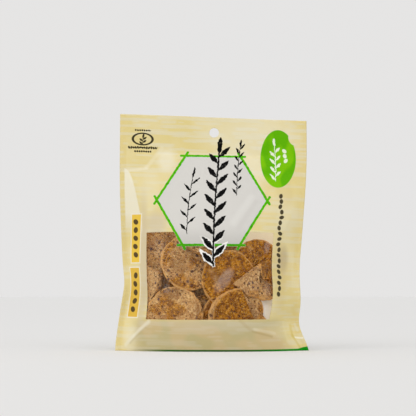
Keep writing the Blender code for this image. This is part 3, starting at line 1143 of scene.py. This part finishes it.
def hexagon(tree, place):
    """Masks of the hexagon's inside and of its crossed sticks, and how far along the sticks' green goes dark."""
    x, y = parts_of(tree, vector_calc(tree, "SUBTRACT", place, (*HEXAGON_MIDDLE, 0.0)))
    y = calc(tree, "DIVIDE", calc(tree, "MULTIPLY_ADD", x, -HEXAGON_CLIMB, y), HEXAGON_SQUASH)
    right, top = calc(tree, "ABSOLUTE", x), calc(tree, "ABSOLUTE", y)
    apothem = HEXAGON_RADIUS * math.sqrt(3) / 2
    slanted = calc(tree, "MULTIPLY_ADD", right, math.sqrt(3) / 2, calc(tree, "MULTIPLY", top, 0.5))
    inside = rise(tree, most(tree, top, slanted), apothem + 0.2, apothem - 0.2)
    unevenness = add_node(tree, "TexNoise", place, None, 0.35, 2.0, noise_dimensions="2D")
    distances = []
    half = HEXAGON_RADIUS / 2
    reach = STICK_CROSSING / HEXAGON_RADIUS
    ends = ((half - reach * half, apothem + reach * apothem), (HEXAGON_RADIUS + reach * half, -reach * apothem))
    level = use(tree, STICK, Place=joined(tree, x, top), Start=(-half - STICK_CROSSING, apothem, 0),
                End=(half + STICK_CROSSING, apothem, 0))
    distances.append(level.outputs["Distance"])
    for side in (y, calc(tree, "MULTIPLY", y, -1.0)):
        slant = use(tree, STICK, Place=joined(tree, right, side), Start=(*ends[0], 0), End=(*ends[1], 0))
        distances.append(slant.outputs["Distance"])
    width = rise(tree, unevenness, 0.3, 0.7, STICK_HALF * 0.88, STICK_HALF * 1.12)
    sticks = rise(tree, calc(tree, "SUBTRACT", least(tree, *distances), width), 0.15, -0.15)
    return inside, sticks, unevenness


def ear(tree, place, bottom, top, middle, lean, **sizes):
    """A grain ear with its stalk, whose foot is at (middle, bottom) and whose top bows by lean to the right."""
    rooted = vector_calc(tree, "SUBTRACT", place, (middle, bottom, 0.0))
    x, y = parts_of(tree, rooted)
    bow = calc(tree, "MULTIPLY", calc(tree, "MULTIPLY", y, y), lean / (top - bottom) ** 2)
    x = calc(tree, "SUBTRACT", x, bow)
    local = joined(tree, x, y)
    grains = use(tree, GRAIN_EAR, Place=local, Top=top - bottom, **sizes).outputs["Reach"]
    tip = use(tree, OVAL, Place=local, Middle=(0, top - bottom + sizes["Length"] * 0.35, 0),
              Radii=(sizes["Width"] * 0.9, sizes["Length"], 1)).outputs["Reach"]
    stalk = use(tree, STICK, Place=local, Start=(0, -sizes["Pitch"] * 0.5, 0), End=(0, top - bottom, 0)).outputs["Distance"]
    stalk = calc(tree, "DIVIDE", stalk, sizes["Width"] * 0.30)
    return least(tree, grains, tip, stalk)


def front_print_and_light_group():
    """The front's print with its painted highlights, shade and sheen: its colour, and where it is printed on the window
    too.
    """
    tree, given, sink = new_group(
        "front print and painted light", (("Place", "Vector", None),), (("Colour", "Color"), ("Printed", "Float"), ("Ink", "Float")),
    )
    place = given["Place"]
    u, v = parts_of(tree, place)
    colour = use(tree, GROUND_AND_LOW_SHADE, Place=place, Seed=3.0).outputs["Colour"]
    # Painted highlights and painted shade over the ground
    for middle, radii, share, painted_colour in PAINTED_LIGHT_AND_SHADE:
        reach = use(tree, OVAL, Place=place, Middle=(*middle, 0), Radii=(*radii, 1)).outputs["Reach"]
        colour = blend(tree, rise(tree, reach, 1.25, 0.35, 0.0, share), colour, shade(*painted_colour))
    # A painted highlight on the facet below the left shoulder, widening down from its tip
    down = calc(tree, "MAXIMUM", calc(tree, "SUBTRACT", 154.5, v), 0.0)
    beside = calc(tree, "MULTIPLY_ADD", calc(tree, "POWER", down, 0.46), 2.75, calc(tree, "SUBTRACT", -76.5, u))
    facet_highlight = least(tree, rise(tree, beside, -0.5, 0.9), rise(tree, u, -76.4, -75.4), rise(tree, v, 94.0, 118.0))
    colour = blend(tree, calc(tree, "MULTIPLY", facet_highlight, 0.85), colour, shade(*PAINTED_HIGHLIGHT_CREAM))

    inside, sticks, unevenness = hexagon(tree, place)
    # The hexagon's paper darkens towards its bottom: painted shade
    paper = blend(tree, rise(tree, v, 106.0, 90.0), shade(*PAPER_GREY), shade(*PAPER_PAINTED_SHADE))
    colour = blend(tree, inside, colour, paper)
    green = blend(tree, rise(tree, unevenness, 0.56, 0.68), shade(*STICK_GREEN), shade(*STICK_DEEP))
    green = blend(tree, rise(tree, v, 95.0, 85.0, 0.0, 0.8), green, shade(*STICK_DEEP))
    colour = blend(tree, sticks, colour, green)

    # Painted highlights and painted shade along the folds
    for start, end, reach, share, fold_light_colour in PAINTED_FOLD_LIGHT:
        distance = use(tree, STICK, Place=place, Start=(*start, 0), End=(*end, 0)).outputs["Distance"]
        colour = blend(tree, rise(tree, distance, reach, 0.1 * reach, 0.0, share), colour, shade(*fold_light_colour))

    # The ink drawing: three ears of rice, the largest with a pale edge where it runs over the window
    brushed = add_node(tree, "TexNoise", place, None, 0.45, 2.0, output=1, noise_dimensions="2D")
    hand = vector_calc(tree, "MULTIPLY_ADD", vector_calc(tree, "SUBTRACT", brushed, (0.5, 0.5, 0.5)), (1.7, 1.7, 0), place)
    tall = ear(tree, hand, 77.0, 174.5, 1.5, 4.0, Pitch=12.6, Length=6.9, Width=2.4, Spread=4.6, Lean=0.72, Seed=2.0)
    small = ear(tree, hand, 136.0, 178.0, 20.5, 3.0, Pitch=7.4, Length=3.2, Width=1.05, Spread=2.0, Lean=0.6, Seed=5.0)
    short = ear(tree, hand, 103.0, 150.0, -20.5, 4.0, Pitch=11.8, Length=4.8, Width=1.15, Spread=3.2, Lean=0.8, Seed=8.0)
    ink = rise(tree, least(tree, tall, small, short), 1.04, 0.92)
    halo = calc(tree, "MULTIPLY", rise(tree, tall, 1.62, 1.45), rise(tree, v, 97.0, 91.0))
    colour = blend(tree, halo, colour, shade(236, 234, 228))
    worn = rise(tree, unevenness, 0.62, 0.75, 1.0, 0.92)
    colour = blend(tree, calc(tree, "MULTIPLY", ink, worn), colour, shade(*INK))

    # The badge: a grain of rice in green, its lighter green a painted sheen
    body = use(tree, OVAL, Place=place, Middle=(55.6, 166.2, 0), Radii=(15.2, 25.6, 1)).outputs["Reach"]
    bite = use(tree, OVAL, Place=place, Middle=(71.2, 185.8, 0), Radii=(6.9, 7.2, 1)).outputs["Reach"]
    badge = least(tree, rise(tree, body, 1.015, 0.985), rise(tree, bite, 0.95, 1.05))
    sheen = add_node(tree, "TexNoise", vector_calc(tree, "MULTIPLY", place, (0.05, 0.028, 1)), None, 1.6, 1.0, noise_dimensions="2D")
    colour = blend(tree, badge, colour, blend(tree, rise(tree, sheen, 0.45, 0.62), shade(*BADGE_GREEN), shade(*BADGE_SHEEN_GREEN)))
    sprig = ear(tree, hand, 150.0, 180.0, 53.6, -1.5, Pitch=7.0, Length=3.3, Width=1.2, Spread=2.4, Lean=0.7, Seed=11.0)
    colour = blend(tree, rise(tree, sprig, 1.1, 0.9), colour, shade(232, 238, 214))

    beside = vector_calc(tree, "SUBTRACT", place, (61.4, 162.9, 0))
    seeds = use(tree, SEED_LINE, Place=beside, Pitch=4.3, Length=2.1, Width=1.5, Top=12.9, Seed=6.0)
    colour = blend(tree, seeds.outputs["Mask"], colour, shade(232, 238, 214))

    # A small stamp: a sprig in a ring, with a line of seeds above and two below
    stamp = vector_calc(tree, "SUBTRACT", place, (-60.5, 180.0, 0))
    ring = use(tree, OVAL, Place=stamp, Middle=(0, 0, 0), Radii=(9.4, 5.4, 1)).outputs["Reach"]
    marks = [rise(tree, calc(tree, "ABSOLUTE", calc(tree, "SUBTRACT", ring, 0.90)), 0.14, 0.08)]
    sprig = ear(tree, stamp, -3.2, 2.0, 0.0, 0.4, Pitch=2.6, Length=1.9, Width=1.0, Spread=1.6, Lean=0.9, Seed=3.0)
    marks.append(rise(tree, sprig, 1.2, 0.8))
    for down, reach, width in ((7.4, 7.0, 0.75), (-7.3, 12.6, 1.25), (-10.6, 7.4, 0.90)):
        lying = add_node(tree, "VectorRotate", stamp, (0, down, 0), None, math.radians(90), rotation_type="Z_AXIS")
        lying = vector_calc(tree, "ADD", lying, (0, reach - down, 0))
        seeds = use(tree, SEED_LINE, Place=lying, Pitch=1.9, Length=0.85, Width=width, Top=2 * reach, Seed=reach, Stray=0.3)
        marks.append(seeds.outputs["Mask"])
    colour = blend(tree, calc(tree, "MULTIPLY", most(tree, *marks), 0.95), colour, shade(26, 24, 16))

    # Two orange labels with seeds down them, and a longer line of seeds at the right
    for middle, half, lean, seed, orange in LABELS:
        local = vector_calc(tree, "SUBTRACT", place, (*middle, 0))
        x, y = parts_of(tree, local)
        local = joined(tree, calc(tree, "MULTIPLY_ADD", y, lean, x), y)
        border = use(tree, BOX, Place=local, Middle=(0, 0, 0), Half=(half[0] + 0.9, half[1] + 0.9, 1)).outputs["Mask"]
        field = use(tree, BOX, Place=local, Middle=(0, 0, 0), Half=(*half, 1)).outputs["Mask"]
        colour = blend(tree, calc(tree, "MULTIPLY", border, 0.65), colour, shade(*LABEL_BORDER))
        # The lower label's orange is darkened as painted shade
        colour = blend(tree, field, colour, shade(*orange))
        foot = vector_calc(tree, "ADD", local, (0, half[1] * 0.86, 0))
        seeds = use(tree, SEED_LINE, Place=foot, Pitch=half[1] * 0.344, Length=2.6, Width=2.1, Top=half[1] * 1.72, Seed=seed)
        colour = blend(tree, seeds.outputs["Mask"], colour, shade(88, 72, 44))
    slanting = calc(tree, "MULTIPLY_ADD", calc(tree, "SUBTRACT", v, 46.0), -0.036, calc(tree, "SUBTRACT", u, 56.2))
    slanting = calc(tree, "SUBTRACT", slanting, rise(tree, calc(tree, "ABSOLUTE", calc(tree, "SUBTRACT", v, 71.0)), 26.0, 3.0, 0.0, 2.2))
    column = joined(tree, slanting, calc(tree, "SUBTRACT", v, 46.0))
    seeds = use(tree, SEED_LINE, Place=column, Pitch=4.7, Length=2.2, Width=1.6, Top=89.3, Seed=9.0, Stray=1.8)
    colour = blend(tree, seeds.outputs["Mask"], colour, shade(76, 68, 48))

    # The green of the bottom panel shows along the lower edge, most at the right corner; its darker green to the left
    # is painted shade
    climb = rise(tree, u, 70.0, 78.0, 1.7, 2.8)
    foot = rise(tree, calc(tree, "SUBTRACT", v, climb), 0.3, -0.3)
    foot = calc(tree, "MULTIPLY", foot, rise(tree, u, -70.0, -30.0))
    colour = blend(tree, foot, colour, blend(tree, rise(tree, u, 20.0, 72.0), shade(*GUSSET_SHADED_GREEN), shade(*GUSSET_GREEN)))
    return close_group(tree, sink, Colour=colour, Printed=most(tree, inside, sticks, ink, halo), Ink=ink)


FRONT_PRINT_AND_LIGHT = front_print_and_light_group()


def flat_place(tree):
    """Where a place lies on the flat film, in millimetres."""
    flat = add_node(tree, "UVMap", uv_map="flat")
    return vector_calc(tree, "MULTIPLY", flat, (1000.0, 1000.0, 0.0))


def seal_ribs(tree, place):
    """The fine level ribs that a hot jaw leaves along the sides."""
    u, v = parts_of(tree, place)
    side = rise(tree, calc(tree, "ABSOLUTE", u), 74.8, 75.3)
    ribs = calc(tree, "SINE", calc(tree, "MULTIPLY", v, math.tau / 1.25))
    return calc(tree, "MULTIPLY", ribs, side)


def film_surface(tree, shader, place, ribs):
    """The slight relief of laminated film."""
    handled = add_node(tree, "TexNoise", place, None, 0.11, 2.0, noise_dimensions="2D")
    height = calc(tree, "MULTIPLY_ADD", ribs, 0.35, handled)
    bump = tree.nodes.new("ShaderNodeBump")
    bump.inputs["Strength"].default_value = 0.25
    bump.inputs["Distance"].default_value = 0.0006
    tree.links.new(height, bump.inputs["Height"])
    tree.links.new(bump.outputs[0], shader.inputs["Normal"])


def front_finish():
    material, tree, shader = new_material("printed front and painted light")
    place = flat_place(tree)
    tree.links.new(use(tree, FRONT_PRINT_AND_LIGHT, Place=place).outputs["Colour"], shader.inputs["Base Color"])
    shader.inputs["Roughness"].default_value = 0.34
    shader.inputs["Specular IOR Level"].default_value = 0.06
    film_surface(tree, shader, place, seal_ribs(tree, place))
    return material


def back_finish():
    """The back: the same ground, a ruled panel and a smaller plain one."""
    material, tree, shader = new_material("printed back")
    place = vector_calc(tree, "SUBTRACT", flat_place(tree), (BACK_PRINT / MM, 0, 0))
    u, v = parts_of(tree, place)
    colour = use(tree, GROUND_AND_LOW_SHADE, Place=place, Seed=70.0).outputs["Colour"]
    panel = use(tree, BOX, Place=place, Middle=(0, 92.0, 0), Half=(56.0, 52.0, 1)).outputs["Mask"]
    colour = blend(tree, panel, colour, shade(236, 232, 220))
    frame_line = use(tree, BOX, Place=place, Middle=(0, 92.0, 0), Half=(54.6, 50.6, 1)).outputs["Mask"]
    field = use(tree, BOX, Place=place, Middle=(0, 92.0, 0), Half=(54.1, 50.1, 1)).outputs["Mask"]
    rule = calc(tree, "ABSOLUTE", calc(tree, "SUBTRACT", calc(tree, "FRACT", calc(tree, "DIVIDE", v, 9.2)), 0.5))
    rules = calc(tree, "MULTIPLY", rise(tree, rule, 0.035, 0.015), field)
    upright = rise(tree, calc(tree, "ABSOLUTE", calc(tree, "ADD", u, 24.0)), 0.3, 0.1)
    lines = most(tree, calc(tree, "SUBTRACT", frame_line, field), rules, calc(tree, "MULTIPLY", upright, field))
    colour = blend(tree, lines, colour, shade(120, 150, 84))
    blank = use(tree, BOX, Place=place, Middle=(34.0, 22.0, 0), Half=(19.0, 11.5, 1)).outputs["Mask"]
    colour = blend(tree, blank, colour, shade(240, 238, 232))
    strip = use(tree, BOX, Place=place, Middle=(0, 160.0, 0), Half=(56.0, 7.5, 1)).outputs["Mask"]
    colour = blend(tree, strip, colour, shade(*STICK_GREEN))
    sprig = ear(tree, joined(tree, calc(tree, "SUBTRACT", v, 160.0), u), -20.0, 20.0, 0.0, 0.0, Pitch=7.0, Length=3.3,
                Width=1.2, Spread=2.4, Lean=0.7, Seed=11.0)
    colour = blend(tree, rise(tree, sprig, 1.1, 0.9), colour, shade(232, 238, 214))
    # A dark green line along the foot: the bottom panel's green in painted shade
    foot = rise(tree, v, 1.2, 0.6)
    colour = blend(tree, foot, colour, shade(*GUSSET_SHADED_GREEN))
    tree.links.new(colour, shader.inputs["Base Color"])
    shader.inputs["Roughness"].default_value = 0.34
    film_surface(tree, shader, place, seal_ribs(tree, place))
    return material


def gusset_finish():
    material, tree, shader = new_material("printed gusset")
    place = flat_place(tree)
    mottle = add_node(tree, "TexNoise", place, None, 0.06, 2.0, noise_dimensions="2D")
    tree.links.new(blend(tree, mottle, shade(*GUSSET_GREEN), shade(26, 124, 26)), shader.inputs["Base Color"])
    shader.inputs["Roughness"].default_value = 0.34
    film_surface(tree, shader, place, calc(tree, "MULTIPLY", mottle, 0.2))
    return material


def inside_finish():
    """The unprinted inner face, silvery white with a little mottling, and a painted glow."""
    material, tree, shader = new_material("film inside")
    place = flat_place(tree)
    mottle = add_node(tree, "TexNoise", place, None, 0.08, 2.0, noise_dimensions="2D")
    tree.links.new(blend(tree, mottle, shade(*INSIDE_WHITE), shade(214, 205, 178)), shader.inputs["Base Color"])
    shader.inputs["Roughness"].default_value = 0.42
    # A painted glow that stands in for daylight coming through the thin film from outside
    shader.inputs["Emission Color"].default_value = (1.0, 0.92, 0.74, 1.0)
    shader.inputs["Emission Strength"].default_value = 0.31
    return material


# Painted reflections on the window film, patches where it is made more of a mirror: middle, radii, turn and how much
# they veil
WINDOW_PAINTED_REFLECTIONS = (
    ((9.8, 59.2), (5.2, 13.4), 36.0, 0.075),
    ((-47.0, 86.0), (11.0, 11.0), 0.0, 0.012),
    ((-37.0, 51.5), (3.8, 5.0), 0.0, 0.030),
    ((47.0, 88.0), (3.2, 7.0), 10.0, 0.045),
    ((45.5, 52.0), (4.5, 8.0), 0.0, 0.022),
)


def window_finish():
    """Clear film: mostly see-through, with a mirror's thin reflection and patches of painted reflection, and solid
    where it is printed.
    """
    material, tree, shader = new_material("window film")
    place = flat_place(tree)
    print_and_light_node = use(tree, FRONT_PRINT_AND_LIGHT, Place=place)
    printed = print_and_light_node.outputs["Printed"]
    tree.links.new(blend(tree, printed, (0.95, 0.95, 0.95, 1), print_and_light_node.outputs["Colour"]), shader.inputs["Base Color"])
    tree.links.new(calc(tree, "SUBTRACT", 1.0, printed), shader.inputs["Metallic"])
    tree.links.new(rise(tree, printed, 0.0, 1.0, 0.10, 0.34), shader.inputs["Roughness"])
    shader.inputs["Specular IOR Level"].default_value = 0.06
    facing = add_node(tree, "LayerWeight", 0.5, output=1)
    gloss = calc(tree, "MULTIPLY_ADD", calc(tree, "POWER", facing, 5.0), 0.9, 0.006)
    # Painted reflections: patches where more of the mirror shows
    for middle, radii, turn, veil in WINDOW_PAINTED_REFLECTIONS:
        off = vector_calc(tree, "SUBTRACT", place, (*middle, 0))
        turned = add_node(tree, "VectorRotate", off, None, None, math.radians(turn), rotation_type="Z_AXIS")
        reach = use(tree, OVAL, Place=turned, Middle=(0, 0, 0), Radii=(*radii, 1)).outputs["Reach"]
        gloss = most(tree, gloss, rise(tree, reach, 1.15, 0.5, 0.0, veil))
    mix = tree.nodes.new("ShaderNodeMixShader")
    through = tree.nodes.new("ShaderNodeBsdfTransparent")
    tree.links.new(most(tree, printed, gloss), mix.inputs[0])
    tree.links.new(through.outputs[0], mix.inputs[1])
    tree.links.new(shader.outputs[0], mix.inputs[2])
    tree.links.new(mix.outputs[0], tree.nodes["Material Output"].inputs["Surface"])
    return material


# ---------------------------------------------------------------- the crackers' finish

def cracker_finish():
    """Toasted pounded rice: pale grains, grey seeds and brown pits, with amber glaze in patches and a painted highlight
    along the rim.
    """
    material, tree, shader = new_material("toasted cracker")
    here = add_node(tree, "TexCoord", output=3)
    place = vector_calc(tree, "MULTIPLY", here, (1000.0, 1000.0, 1000.0))
    glaze = add_node(tree, "Attribute", attribute_name="glaze", output=2)
    tone = add_node(tree, "Attribute", attribute_name="tone", output=2)
    rim = add_node(tree, "Attribute", attribute_name="rim", output=2)

    cloud = add_node(tree, "TexNoise", place, None, 0.13, 3.0)
    fine = add_node(tree, "TexNoise", place, None, 0.90, 3.0)
    grains = tree.nodes.new("ShaderNodeTexVoronoi")
    grains.inputs["Scale"].default_value = 0.78
    tree.links.new(place, grains.inputs["Vector"])
    grain_chance, _ = parts_of(tree, grains.outputs["Color"])

    middling = add_node(tree, "TexNoise", vector_calc(tree, "ADD", place, (7, 70, 30)), None, 0.36, 2.0)
    dry = blend(tree, rise(tree, cloud, 0.32, 0.68), shade(176, 121, 66), shade(218, 167, 104))
    dry = blend(tree, rise(tree, fine, 0.38, 0.72, 0.0, 0.75), dry, shade(218, 175, 114))
    dry = blend(tree, rise(tree, grain_chance, 0.78, 0.95, 0.0, 0.7), dry, shade(236, 200, 140))
    dry = blend(tree, rise(tree, grain_chance, 0.28, 0.10, 0.0, 0.6), dry, shade(132, 80, 48))

    amber = blend(tree, rise(tree, middling, 0.36, 0.62), shade(128, 71, 2), shade(192, 125, 16))
    amber = blend(tree, rise(tree, fine, 0.50, 0.72, 0.0, 0.7), amber, shade(206, 140, 36))
    amber = blend(tree, rise(tree, grain_chance, 0.84, 0.95, 0.0, 0.65), amber, shade(228, 170, 70))
    amber = blend(tree, rise(tree, grain_chance, 0.20, 0.08, 0.0, 0.5), amber, shade(86, 40, 0))
    thick = rise(tree, calc(tree, "MULTIPLY_ADD", calc(tree, "SUBTRACT", fine, 0.5), 0.8, glaze), 0.25, 0.95)
    colour = blend(tree, thick, dry, amber)

    broad = add_node(tree, "TexNoise", place, None, 0.055, 2.0)
    colour = blend(tree, rise(tree, broad, 0.48, 0.66, 0.0, 0.5), colour, shade(124, 76, 26))
    # A paler rim: painted highlight along each cracker's edge
    colour = blend(tree, calc(tree, "MULTIPLY", rim, 0.8), colour, shade(228, 172, 100))
    colour = blend(tree, calc(tree, "MULTIPLY", tone, 0.5, clamp=True), colour, shade(106, 66, 34))
    colour = blend(tree, calc(tree, "MULTIPLY", tone, -0.5, clamp=True), colour, shade(206, 168, 122))

    seeds = tree.nodes.new("ShaderNodeTexVoronoi")
    seeds.inputs["Scale"].default_value = 0.26
    warped = vector_calc(tree, "ADD", place, add_node(tree, "TexNoise", place, None, 0.8, 1.0, output=1))
    tree.links.new(warped, seeds.inputs["Vector"])
    seed_chance, seed_more = parts_of(tree, seeds.outputs["Color"])
    size = rise(tree, seed_chance, 0.35, 1.0, 0.02, 0.35)
    spots = rise(tree, calc(tree, "SUBTRACT", seeds.outputs["Distance"], size), 0.06, -0.05)
    spots = calc(tree, "MULTIPLY", spots, rise(tree, seed_chance, 0.35, 0.45, 0.0, 0.9))
    spots = calc(tree, "MULTIPLY", spots, rise(tree, thick, 0.2, 1.0, 1.0, 0.45))
    colour = blend(tree, spots, colour, blend(tree, seed_more, shade(84, 62, 70), shade(104, 70, 46)))

    pits = add_node(tree, "TexNoise", vector_calc(tree, "ADD", place, (50, 20, 0)), None, 0.42, 2.0)
    holes = rise(tree, pits, 0.615, 0.695, 0.0, 0.85)
    colour = blend(tree, holes, colour, shade(92, 48, 12))
    tree.links.new(colour, shader.inputs["Base Color"])
    tree.links.new(rise(tree, thick, 0.0, 1.0, 0.72, 0.34), shader.inputs["Roughness"])
    shader.inputs["Specular IOR Level"].default_value = 0.16

    height = calc(tree, "MULTIPLY_ADD", grains.outputs["Distance"], -0.9, calc(tree, "MULTIPLY", fine, 1.3))
    height = calc(tree, "MULTIPLY_ADD", holes, -0.8, height)
    bump = tree.nodes.new("ShaderNodeBump")
    bump.inputs["Strength"].default_value = 1.0
    bump.inputs["Distance"].default_value = 0.0008
    tree.links.new(height, bump.inputs["Height"])
    tree.links.new(bump.outputs[0], shader.inputs["Normal"])
    return material


def sachet_finish():
    """Bare white paper-faced film, embossed with fine dots."""
    material, tree, shader = new_material("sachet paper")
    here = add_node(tree, "TexCoord", output=3)
    place = vector_calc(tree, "MULTIPLY", here, (1000.0, 1000.0, 1000.0))
    fibres = add_node(tree, "TexNoise", place, None, 0.8, 3.0)
    tree.links.new(blend(tree, fibres, shade(240, 238, 234), shade(250, 248, 246)), shader.inputs["Base Color"])
    shader.inputs["Roughness"].default_value = 0.62
    dots = tree.nodes.new("ShaderNodeTexVoronoi")
    dots.inputs["Scale"].default_value = 1.1
    dots.inputs["Randomness"].default_value = 0.15
    tree.links.new(place, dots.inputs["Vector"])
    bump = tree.nodes.new("ShaderNodeBump")
    bump.inputs["Strength"].default_value = 0.5
    bump.inputs["Distance"].default_value = 0.0002
    tree.links.new(dots.outputs["Distance"], bump.inputs["Height"])
    tree.links.new(bump.outputs[0], shader.inputs["Normal"])
    return material


# ---------------------------------------------------------------- putting it together

film_inside = inside_finish()
make_sachet(sachet_finish())
front_film, window_film = make_front(front_finish(), film_inside, window_finish())
back_film = make_back(back_finish(), film_inside)
gusset_film = make_gusset(gusset_finish(), film_inside)
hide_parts("pouch")
toasted = cracker_finish()
make_crackers("toasted_crackers", TOASTED, 5, 11, toasted)
make_crackers("glazed_crackers", GLAZED, 5, 31, toasted)
make_crackers("hidden_crackers", HIDDEN, 4, 51, toasted)


# ---------------------------------------------------------------- stage, light and camera

def aim(thing, place, target):
    thing.location = place
    thing.rotation_mode = "QUATERNION"
    thing.rotation_quaternion = (Vector(target) - Vector(place)).to_track_quat("-Z", "Y")
    bpy.context.scene.collection.objects.link(thing)


def make_stage():
    bm = bmesh.new()
    bmesh.ops.create_circle(bm, cap_ends=True, segments=96, radius=FLOOR_RADIUS)
    mesh = bpy.data.meshes.new("floor")
    bm.to_mesh(mesh)
    bm.free()
    floor = bpy.data.objects.new("floor", mesh)
    finish = plain("pale floor", (0.785, 0.778, 0.768, 1), 0.9)
    finish.node_tree.nodes["Principled BSDF"].inputs["Specular IOR Level"].default_value = 0.0
    mesh.materials.append(finish)
    bpy.context.scene.collection.objects.link(floor)


FLOOR_RADIUS = 12.0
BACKDROP = (0.788, 0.781, 0.775, 1)
ROOM_LIGHT = 0.375
# Where the room is lighter: the way there, how much lighter, and how narrow
ROOM_GLOWS = (((-0.25, -0.40, 0.88), 1.05, 2.0), ((-0.92, -0.38, 0.10), 0.50, 3.0), ((0.90, -0.42, 0.10), 0.76, 3.0))


def make_lights():
    """A pale room, lighter above and in front, that looks evenly pale behind the pouch, and a softbox."""
    world = bpy.data.worlds.new("soft room")
    bpy.context.scene.world = world
    world.use_nodes = True
    tree = world.node_tree
    way = add_node(tree, "TexCoord", output=0)
    light = ROOM_LIGHT
    for glow_way, strength, narrow in ROOM_GLOWS:
        toward = vector_calc(tree, "DOT_PRODUCT", way, glow_way, output=1)
        glow = calc(tree, "POWER", calc(tree, "MAXIMUM", toward, 0.0), narrow)
        light = calc(tree, "MULTIPLY_ADD", glow, strength, light)
    seen = add_node(tree, "LightPath", output=0)
    tree.links.new(blend(tree, seen, joined(tree, light, light, light), BACKDROP), tree.nodes["Background"].inputs[0])
    box = bpy.data.lights.new("softbox", "AREA")
    box.shape = "RECTANGLE"
    box.size, box.size_y = 0.35, 1.1
    box.energy = 1.0
    aim(bpy.data.objects.new("softbox", box), (-0.95, -0.75, 0.70), (0, 0, 0.1))


def make_camera():
    camera = bpy.data.cameras.new("camera")
    camera.lens = 106.3
    camera.sensor_width = 36
    camera.clip_start = 0.05
    view = bpy.data.objects.new("camera", camera)
    aim(view, (-0.0033, -1.02, 0.048), (-0.0033, 0.0, 0.1180))
    bpy.context.scene.camera = view


make_stage()
make_lights()
make_camera()
bpy.context.scene.view_settings.view_transform = "Standard"
